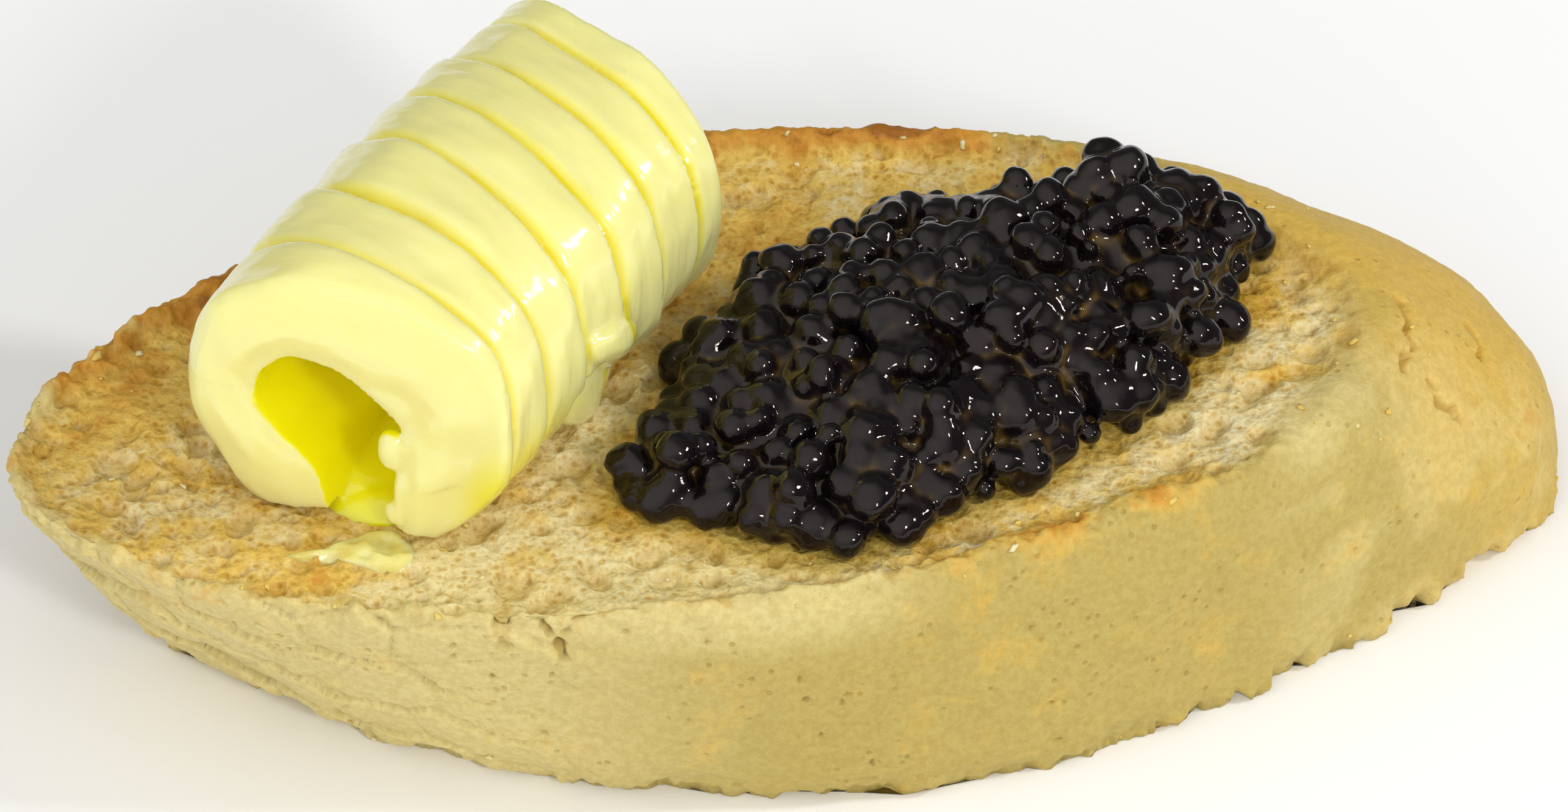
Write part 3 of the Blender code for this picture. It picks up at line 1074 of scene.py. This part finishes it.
def melt(mesh, creases, crests, steps, uneven=0.0):
    """Fills the creases of a skin and keeps its crests, in some places more than in others."""
    edges = edges_of(mesh)
    points = points_of(mesh)
    if uneven:
        creases = creases * (1 - uneven * ease(rough(points, 5.0, 71, 2), -0.15, 0.3))
    for _ in range(steps):
        place_points(mesh, points)
        pull = spread(points, edges) - points
        outwards = np.einsum("ij,ij->i", pull, normals_of(mesh)) > 0
        points = points + pull * np.where(outwards, creases, crests)[:, None]
    place_points(mesh, points)


def butter_numbers(mesh):
    """Groove depth with the painted shade of the grooves and the lower right flank, the hollow with its
    painted glow, and flow directions for the butter's material.
    """
    points = points_of(mesh)
    distance, side, up = curl_coordinates(points)
    angle = np.arctan2(up - CURL_RISE / MM, side)
    radius = np.hypot(side / 11.2, (up - 9.7) / 9.7)
    # painted shade: the butter beside each groove is given the deeper groove yellow
    groove = np.zeros(len(points))
    for begin, end in zip(RIDGES, RIDGES[1:]):
        on_ridge = (distance >= begin[0]) & (distance < end[0])
        share = (distance - begin[0]) / (end[0] - begin[0])
        front = np.clip(1 - share / 0.24, 0, 1) if begin[0] > 0 else np.zeros(len(points))
        behind = np.clip((share - 0.93) / 0.07, 0, 1)
        groove = np.where(on_ridge, np.maximum(front, behind), groove)
    outer = ease(radius, 0.72, 0.85)
    # painted shade: the lower right flank, turned away from the light, also takes the groove yellow
    low_flank_shade = ease(side, 5.5, 10.0) * (1 - ease(up, 3.0, 11.0)) * (1 - ease(distance, 8, 20))
    paint(mesh, "groove", np.maximum(groove, 0.9 * low_flank_shade) * outer)
    # painted light: where the hollow's bright yellow goes
    faces = normals_of(mesh) @ np.array(CURL_ALONG)
    facing = ease(np.abs(faces), 0.45, 0.8)
    reach = hollow_distance(side, up)
    front_edge = distance + 1.2 * (1 - facing) + 0.9 * (1 - ease(up, 1.2, 2.4))
    inside = (1 - ease(reach, 0.3, 0.9)) * ease(front_edge, 0.3, 1.0) * (1 - ease(distance, 29.5, 31))
    paint(mesh, "inside", inside)
    paint(mesh, "flow_along", distance)
    paint(mesh, "flow_round", angle * 10)


def butter_material(look):
    """Soft, glossy butter with drag marks round the curl, painted shade in the grooves and a painted glow in
    the hollow.
    """
    m = Maker("butter")
    groove, inside = m.read("groove"), m.read("inside")
    flow = m.together(m.times(m.read("flow_along"), MM), m.times(m.read("flow_round"), 0.09 * MM), 0.0)
    drag = m.cloud(0.55, 4, 0.65, place=flow)
    patches = m.cloud(3.4, 4, 0.6)
    # painted shade: deeper yellow in the grooves and low on the right flank
    base = m.mix(m.ramp(groove, 0.05, 0.95), tuple(look.face), tuple(look.groove))
    base = m.mix(m.ramp(patches, 0.42, 0.7, 0.0, 0.06), base, tuple(look.groove))
    # painted light: the hollow glows bright yellow as if lit through the butter
    base = m.mix(m.ramp(inside, 0.1, 0.9), base, tuple(look.inside))
    wrinkle = m.cloud(1.5, 2, 0.5, place=flow)
    height = m.plus(m.times(drag, 0.55), m.times(m.cloud(1.1, 4, 0.6), 0.5))
    height = m.plus(height, m.times(m.cloud(0.3, 2, 0.5), 0.12))
    return m.set(
        Base_Color=base,
        Roughness=0.34,
        Specular_IOR_Level=0.4,
        Subsurface_Weight=0.8,
        Subsurface_Radius=(1.0, 0.9, 0.25),
        Subsurface_Scale=3.2 * MM,
        Subsurface_Anisotropy=0.2,
        Coat_Weight=0.9,
        Coat_Roughness=0.05,
        Coat_Normal=m.bump(m.plus(m.times(drag, 0.5), wrinkle), 0.22, 0.6),
        Normal=m.bump(height, 0.12, 0.08),
    )


class TOAST_OT_curl(bpy.types.Operator):
    """Makes the ridged butter curl with its lips and knobs"""

    bl_idname = "toast.curl"
    bl_label = "Butter curl"

    def execute(self, context):
        look = context.scene.butter_look
        bm = curl_parts(look)
        for number, (place, sizes, turn) in enumerate(BLOBS):
            add_blob(bm, place, sizes, turn, number * 3.1)
        mesh = voxel_skin(bm, look.fineness, "ridged_curl")
        melt(mesh, 0.35, 0.25, 1)
        butter_numbers(mesh)
        finish_piece("ridged_curl", mesh, butter_material(look), "butter", "butter_curl")
        return {"FINISHED"}


# Outline of the smear in plan, in millimetres
SMEAR_MM = (
    (-29.6, -10.9),
    (-28.2, -11.0),
    (-27.1, -12.0),
    (-26.9, -13.6),
    (-27.8, -15.0),
    (-29.4, -15.0),
    (-30.9, -13.9),
    (-33.0, -12.9),
    (-35.2, -12.5),
    (-33.4, -11.9),
    (-31.4, -11.5),
)
SMEAR_SPOKES = 64
SMEAR_RINGS = 14
SMEAR_THICK = 0.36 * MM


def smear_rim():
    """Middle of the smear and its uneven edge, in millimetres in plan."""
    middle = Vector([sum(p[i] for p in SMEAR_MM) / len(SMEAR_MM) for i in (0, 1)])
    knots = [*SMEAR_MM, SMEAR_MM[0]]
    rim = []
    for number in range(SMEAR_SPOKES):
        turn = number / SMEAR_SPOKES
        around = (math.cos(turn * 6.28) * 2.4, math.sin(turn * 6.28) * 2.4, 4.0)
        swell = 0.05 * noise.fractal(around, 1, 2, 3)
        rim.append(Vector(catmull(knots, turn)).lerp(middle, -swell))
    return middle, rim


def smear_parts(bread):
    """A closed sheet that is thickest in the middle and follows the crumb."""
    bm = bmesh.new()
    middle, rim = smear_rim()

    def lay(verts, share):
        for vert, edge in zip(verts, rim):
            spot = middle.lerp(edge, share) * MM
            hit = bread.ray_cast(Vector((spot.x, spot.y, 0.03)), Vector((0, 0, -1)))[0]
            thick = SMEAR_THICK * math.sqrt(max(0, 1 - share**2.2)) - 0.05 * MM
            thick += 0.1 * MM * noise.noise((spot.x * 900, spot.y * 900, 2))
            vert.co = (spot.x, spot.y, (hit.z if hit else CRUMB_TOP) + thick)

    loop = bmesh.ops.create_circle(bm, cap_ends=False, segments=SMEAR_SPOKES, radius=1.0)["verts"]
    lay(loop, 1.0)
    edges = list(bm.edges)
    for ring in range(1, SMEAR_RINGS):
        made = bmesh.ops.extrude_edge_only(bm, edges=edges)["geom"]
        fresh = {g for g in made if isinstance(g, bmesh.types.BMVert)}
        edges = [g for g in made if isinstance(g, bmesh.types.BMEdge) and fresh.issuperset(g.verts)]
        loop = [next(e.other_vert(v) for e in v.link_edges if e.other_vert(v) in fresh) for v in loop]
        lay(loop, 1 - ring / SMEAR_RINGS)
    bmesh.ops.contextual_create(bm, geom=loop)
    bmesh.ops.triangulate(bm, faces=[f for f in bm.faces if len(f.verts) > 4])
    for _ in range(3):
        inner = [v for v in bm.verts if not v.is_boundary]
        bmesh.ops.smooth_vert(bm, verts=inner, factor=0.5, use_axis_z=True)
    under = bmesh.ops.extrude_edge_only(bm, edges=[e for e in bm.edges if e.is_boundary])["geom"]
    lower = [g for g in under if isinstance(g, bmesh.types.BMVert)]
    bmesh.ops.translate(bm, verts=lower, vec=(0, 0, -0.5 * MM))
    bmesh.ops.holes_fill(bm, edges=[e for e in bm.edges if e.is_boundary], sides=0)
    bmesh.ops.recalc_face_normals(bm, faces=bm.faces)
    return bm


def smear_material():
    """Thin, melted butter."""
    m = Maker("melted_butter")
    thin = m.ramp(m.cloud(1.6, 3), 0.35, 0.7)
    return m.set(
        Base_Color=m.mix(thin, colour(238, 228, 150), colour(226, 204, 106)),
        Roughness=0.2,
        Specular_IOR_Level=0.55,
        Subsurface_Weight=0.6,
        Subsurface_Radius=(1.0, 0.85, 0.3),
        Subsurface_Scale=1.6 * MM,
        Coat_Weight=0.3,
        Coat_Roughness=0.1,
        Normal=m.bump(m.cloud(0.8, 3), 0.2, 0.5),
    )


class TOAST_OT_smear(bpy.types.Operator):
    """Makes the thin smear of melted butter in front of the curl"""

    bl_idname = "toast.smear"
    bl_label = "Butter smear"

    def execute(self, context):
        bm = smear_parts(tree_of(bpy.data.objects["toasted_slice"].data))
        finish_piece("butter_smear", mesh_of(bm, "butter_smear"), smear_material(), "butter")
        return {"FINISHED"}


# ---------------------------------------------------------------- caviar

SCATTER_TRIES = 9000


def scatter_over(mesh, spacing, seed):
    """Evenly spread places on a mesh's upper faces: (place, normal)."""
    rng = random.Random(seed)
    bm = bmesh.new()
    bm.from_mesh(mesh)
    bmesh.ops.remove_doubles(bm, verts=bm.verts, dist=MERGED)
    bmesh.ops.triangulate(bm, faces=bm.faces)
    lowest = HEAP_LOW.z + 0.2 * MM
    faces = [f for f in bm.faces if f.normal.z > -0.35 and f.calc_center_median().z > lowest]
    areas = np.cumsum([f.calc_area() for f in faces])
    found = []
    grid = {}
    for _ in range(SCATTER_TRIES):
        face = faces[int(np.searchsorted(areas, rng.random() * areas[-1]))]
        a, b = sorted((rng.random(), rng.random()))
        corners = [v.co for v in face.verts]
        place = corners[0] * a + corners[1] * (b - a) + corners[2] * (1 - b)
        key = tuple(int(c / spacing) for c in place)
        near = itertools.product(*((k - 1, k, k + 1) for k in key))
        if any((other - place).length < spacing for cell in near for other in grid.get(cell, ())):
            continue
        grid.setdefault(key, []).append(place)
        found.append((place, face.normal.copy()))
    bm.free()
    return found


def add_grain(bm, place, radius, rng):
    """One slightly uneven grain."""
    ball = bmesh.ops.create_icosphere(bm, subdivisions=3, radius=radius)
    squash = Matrix.Diagonal((rng.uniform(0.86, 1.1), rng.uniform(0.86, 1.1), rng.uniform(0.84, 1.04), 1))
    turn = Matrix.Rotation(rng.uniform(0, 3.1), 4, "X") @ Matrix.Rotation(rng.uniform(0, 3.1), 4, "Z")
    bmesh.ops.transform(bm, matrix=Matrix.Translation(place) @ turn @ squash, verts=ball["verts"])


# Grains that stand out of the heap's outline: x, y, z and radius in millimetres
PROUD_GRAINS = (
    (22.4, 8.4, 24.6, 1.5),
    (23.6, 6.6, 25.2, 1.4),
    (21.4, 6.6, 25.0, 1.3),
    (24.6, 8.2, 23.2, 1.4),
    (23.0, 9.6, 22.6, 1.4),
    (13.2, -14.3, 18.7, 1.35),
    (11.8, -13.4, 18.9, 1.2),
    (7.2, -15.9, 18.9, 1.5),
    (5.2, -16.9, 18.6, 1.3),
    (30.4, 3.4, 21.4, 1.3),
    (28.4, 6.2, 22.6, 1.3),
    (0.2, -18.6, 18.6, 1.4),
    (-1.0, 7.0, 19.8, 1.5),
    (-5.6, 1.6, 19.4, 1.35),
)


CORE_DEPTH = 1.45 * MM  # the core below the heap's outline
GRAIN_SPACING = 1.85 * MM
LOOSE_SPACING = 3.4 * MM
GRAIN_SIZES = (0.62, 0.74, 0.85, 0.95, 1.0, 1.0, 1.08, 1.18, 1.3)


def caviar_parts(look):
    """A core, two layers of grains and a few that stand proud."""
    rng = random.Random(7)
    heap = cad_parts["caviar_heap"].data
    bm = bmesh.new()
    bm.from_mesh(heap)
    bmesh.ops.remove_doubles(bm, verts=bm.verts, dist=MERGED)
    bm.normal_update()
    for vert in bm.verts:
        vert.co -= vert.normal * CORE_DEPTH
        vert.co.z = max(vert.co.z, CRUMB_TOP - 0.4 * MM)
    for place, normal in scatter_over(heap, GRAIN_SPACING, 3):
        lump = noise.fractal(place * 190, 1.0, 2.0, 2)
        radius = look.grain / 2 * rng.choice(GRAIN_SIZES)
        sink = 0.8 * radius - 1.25 * MM * lump + rng.uniform(-0.4, 0.4) * MM
        sink = min(max(sink, 0.05 * radius), 1.15 * radius)
        spot = place - normal * sink
        spot.z = max(spot.z, CRUMB_TOP + 0.75 * radius)
        add_grain(bm, spot, radius, rng)
    for place, normal in scatter_over(heap, LOOSE_SPACING, 5):
        if rng.random() < 0.22:
            radius = look.grain / 2 * rng.uniform(0.9, 1.15)
            spot = place + normal * rng.uniform(-0.5, 0.3) * MM
            spot.z = max(spot.z, CRUMB_TOP + 0.8 * radius)
            add_grain(bm, spot, radius, rng)
    for x, y, z, radius in PROUD_GRAINS:
        add_grain(bm, Vector((x, y, z)) * MM, radius * MM, rng)
    return bm


def caviar_material(look):
    """Wet, near-black grains under a clear film, browner in the filled creases: the film's own tint and a
    painted reflection of the bread.
    """
    m = Maker("black_caviar")
    # the film's brown is partly its own tint and partly a painted reflection of the bread
    film = m.times(m.read("film"), m.ramp(m.cloud(4.0, 3), 0.35, 0.6, 0.25, 1.0))
    return m.set(
        Base_Color=m.mix(film, tuple(look.black), tuple(look.film)),
        Roughness=m.ramp(m.cloud(1.6, 3), 0.4, 0.7, 0.05, 0.13),
        Specular_IOR_Level=0.27,
        Specular_Tint=(1.0, 0.85, 0.77),
        Coat_Weight=0.3,
        Coat_Roughness=0.04,
        Coat_IOR=1.4,
        Normal=m.bump(m.cloud(0.9, 3, 0.5), 0.12, 0.35),
    )


class TOAST_OT_caviar(bpy.types.Operator):
    """Makes the heap of caviar grains in their wet film"""

    bl_idname = "toast.caviar"
    bl_label = "Caviar"

    def execute(self, context):
        look = context.scene.caviar_look
        mesh = voxel_skin(caviar_parts(look), look.fineness, "caviar_grains")
        before = points_of(mesh)
        melt(mesh, 0.95, 0.09, 36, 0.75)
        points = points_of(mesh)
        filled = np.linalg.norm(points - before, axis=1) / MM
        # filled creases: where the brown film colour and its painted reflection of the bread go
        paint(mesh, "film", ease(filled, 0.05, 0.45))
        lumps = (0.14 * rough(points, 1.7, 81, 2) + 0.3 * rough(points, 3.4, 82, 2)) * MM
        place_points(mesh, points + normals_of(mesh) * lumps[:, None])
        finish_piece("caviar_grains", mesh, caviar_material(look), "black_caviar", "caviar_heap")
        return {"FINISHED"}


# ---------------------------------------------------------------- crumbs

CRUMB_COUNT = 170
CRUMB_CLEARANCE = 0.6 * MM


def add_crumb(bm, number, place, normal, rng):
    """One small uneven flake that lies on the surface."""
    size = (0.10 + 0.16 * rng.random() ** 2) * MM
    ball = bmesh.ops.create_icosphere(bm, subdivisions=2, radius=size)
    seed = Vector((number * 1.3, number * 0.7, number * 2.1))
    for vert in ball["verts"]:
        vert.co *= 1 + 0.9 * noise.noise(vert.co.normalized() * 2.2 + seed)
    stretch = Matrix.Diagonal((rng.uniform(0.7, 1.7), rng.uniform(0.6, 1.2), rng.uniform(0.35, 0.8), 1))
    flat = normal.to_track_quat("Z", "Y").to_matrix().to_4x4()
    turn = flat @ Matrix.Rotation(rng.uniform(0, 6.3), 4, "Z")
    shift = Matrix.Translation(place + normal * size * 0.25)
    bmesh.ops.transform(bm, matrix=shift @ turn @ stretch, verts=ball["verts"])


def crumb_parts(bread, toppings):
    """Crumbs on the upper face and low on the side, clear of the toppings."""
    rng = random.Random(19)
    points, normals = points_of(bread), normals_of(bread)
    bm = bmesh.new()
    made = 0
    while made < CRUMB_COUNT:
        row = rng.randrange(len(points))
        place, normal = Vector(points[row]), Vector(normals[row])
        low = place.z < 2.5 * MM and abs(normal.z) < 0.6
        if place.z < 15 * MM and not (low and rng.random() < 0.5):
            continue
        if place.z > 15 * MM and normal.z < 0.3 and rng.random() < 0.7:
            continue
        if any(tree.find_nearest(place, CRUMB_CLEARANCE)[0] for tree in toppings):
            continue
        add_crumb(bm, made, place, normal, rng)
        made += 1
    for vert in bm.verts:
        vert.co.z = max(vert.co.z, 0)
    return bm


def crumb_material(look):
    """Dry flakes, pale to browned."""
    m = Maker("crumbs")
    pick = m.cloud(6.0, 2, 0.7)
    base = m.mix(m.ramp(pick, 0.3, 0.55), tuple(look.crumb_pale), tuple(look.crumb_golden))
    return m.set(
        Base_Color=m.mix(m.ramp(pick, 0.6, 0.75), base, tuple(look.browned)),
        Roughness=0.65,
        Specular_IOR_Level=0.3,
        Subsurface_Weight=0.2,
        Subsurface_Radius=(1.0, 0.6, 0.25),
        Subsurface_Scale=0.8 * MM,
        Normal=m.bump(m.cloud(0.3, 3), 0.15, 0.6),
    )


class TOAST_OT_crumbs(bpy.types.Operator):
    """Makes the loose crumbs and flakes on the slice"""

    bl_idname = "toast.crumbs"
    bl_label = "Crumbs"

    def execute(self, context):
        toppings = [tree_of(bpy.data.objects[name].data) for name in ("ridged_curl", "caviar_grains")]
        mesh = mesh_of(crumb_parts(bpy.data.objects["toasted_slice"].data, toppings), "toast_crumbs")
        finish_piece("toast_crumbs", mesh, crumb_material(context.scene.toast_look), "toasted_bread")
        return {"FINISHED"}


# ---------------------------------------------------------------- studio

CAMERA_AIM = Vector((-0.216 * MM, 1.946 * MM, 12 * MM))
CAMERA_BEARING = -10
CAMERA_LIFT = 42
CAMERA_DISTANCE = 0.75
CAMERA_LENS = 262.03
FLOOR_RADIUS = 4.0
FLOOR_GAP = 0.05 * MM
LIGHT_DISTANCE = 0.9
# Name, bearing, height, size, share of the power
LIGHTS = (
    ("front", 16, 33, 0.108, 1.0),
    ("side", 76, 37, 0.115, 1.15),
)
# Bearing, height, where it fades out and where it is brightest, share of the strength
SKY_LOBES = (
    (-48, 55, 0.20, 0.98, 1.0),
    (-38, 14, 0.60, 0.99, 0.18),
)


def direction(bearing, lift):
    """Unit vector towards a bearing, 0 being the front and 90 the right, and a height, in degrees."""
    a, e = math.radians(bearing), math.radians(lift)
    return Vector((math.sin(a) * math.cos(e), -math.cos(a) * math.cos(e), math.sin(e)))


def set_round(item, bearing, lift, distance):
    """Puts a camera or a light round the toast, facing it."""
    way = direction(bearing, lift)
    item.location = CAMERA_AIM + way * distance
    item.rotation_euler = way.to_track_quat("Z", "Y").to_euler()
    bpy.context.scene.collection.objects.link(item)


def add_light(name, bearing, lift, size, power):
    """Upright area light that faces the toast."""
    data = bpy.data.lights.new(name, "AREA")
    data.shape = "RECTANGLE"
    data.size = size * 0.8
    data.size_y = size * 1.3
    data.energy = power
    set_round(bpy.data.objects.new(name, data), bearing, lift, LIGHT_DISTANCE)


def add_floor(look):
    """Large pale disc just below the toast."""
    bm = bmesh.new()
    bmesh.ops.create_circle(bm, cap_ends=True, segments=96, radius=FLOOR_RADIUS)
    mesh = mesh_of(bm, "floor")
    paper = Maker("floor").set(Base_Color=tuple(look.floor), Roughness=0.9, Specular_IOR_Level=0.1)
    mesh.materials.append(paper)
    floor = bpy.data.objects.new("floor", mesh)
    floor.location.z = CAD_BOX[0][2] - FLOOR_GAP
    bpy.context.scene.collection.objects.link(floor)


def soft_sky(world, look):
    """Dim light from all round with one broad, soft bright part to the upper left and a low one below it."""
    tree = world.node_tree
    place = tree.nodes.new("ShaderNodeTexCoord").outputs["Generated"]
    strength = None
    for bearing, lift, wide, narrow, share in SKY_LOBES:
        towards = tree.nodes.new("ShaderNodeVectorMath")
        towards.operation = "DOT_PRODUCT"
        tree.links.new(place, towards.inputs[0])
        towards.inputs[1].default_value = direction(bearing, lift)
        lobe = tree.nodes.new("ShaderNodeMapRange")
        lobe.interpolation_type = "SMOOTHSTEP"
        lobe.inputs["From Min"].default_value = wide
        lobe.inputs["From Max"].default_value = narrow
        lobe.inputs["To Min"].default_value = 0.0
        lobe.inputs["To Max"].default_value = share * look.window
        tree.links.new(towards.outputs["Value"], lobe.inputs["Value"])
        total = tree.nodes.new("ShaderNodeMath")
        total.operation = "ADD"
        tree.links.new(lobe.outputs["Result"], total.inputs[0])
        if strength:
            tree.links.new(strength, total.inputs[1])
        else:
            total.inputs[1].default_value = look.sky
        strength = total.outputs["Value"]
    tree.links.new(strength, tree.nodes["Background"].inputs["Strength"])
    tree.nodes["Background"].inputs["Color"].default_value = (1, 1, 1, 1)


class TOAST_OT_studio(bpy.types.Operator):
    """Makes the pale floor, the soft lights and the camera"""

    bl_idname = "toast.studio"
    bl_label = "Studio"

    def execute(self, context):
        look = context.scene.studio_look
        scene = context.scene
        add_floor(look)
        scene.world = bpy.data.worlds.new("studio")
        scene.world.use_nodes = True
        soft_sky(scene.world, look)
        for name, bearing, lift, size, share in LIGHTS:
            add_light(name, bearing, lift, size, look.key_power * share)
        data = bpy.data.cameras.new("camera")
        data.sensor_width = 36
        data.lens = CAMERA_LENS
        data.clip_start = 0.05
        camera = bpy.data.objects.new("camera", data)
        set_round(camera, CAMERA_BEARING, CAMERA_LIFT, CAMERA_DISTANCE)
        scene.camera = camera
        scene.view_settings.view_transform = "Standard"
        return {"FINISHED"}


# ---------------------------------------------------------------- add-on

STEPS = ("slice", "curl", "smear", "caviar", "crumbs", "studio")


class TOAST_PT_panel(bpy.types.Panel):
    """Lists the pieces and their sizes and colours"""

    bl_idname = "TOAST_PT_panel"
    bl_label = "Toast"
    bl_space_type = "VIEW_3D"
    bl_region_type = "UI"
    bl_category = "Toast"

    def draw(self, context):
        for step in STEPS:
            self.layout.operator("toast." + step)
        for name in LOOKS:
            box = self.layout.box()
            look = getattr(context.scene, name)
            for prop in look.bl_rna.properties:
                if prop.identifier not in ("rna_type", "name"):
                    box.prop(look, prop.identifier)


LOOKS = {
    "toast_look": ToastLook,
    "butter_look": ButterLook,
    "caviar_look": CaviarLook,
    "studio_look": StudioLook,
}
CLASSES = (
    *LOOKS.values(),
    TOAST_OT_slice,
    TOAST_OT_curl,
    TOAST_OT_smear,
    TOAST_OT_caviar,
    TOAST_OT_crumbs,
    TOAST_OT_studio,
    TOAST_PT_panel,
)


def register():
    for cls in CLASSES:
        bpy.utils.register_class(cls)
    for name, group in LOOKS.items():
        setattr(bpy.types.Scene, name, PointerProperty(type=group))


def unregister():
    for name in LOOKS:
        delattr(bpy.types.Scene, name)
    for cls in reversed(CLASSES):
        bpy.utils.unregister_class(cls)


def main():
    """Makes every piece, in order."""
    register()
    for step in STEPS:
        getattr(bpy.ops.toast, step)()


if __name__ == "__main__":
    main()
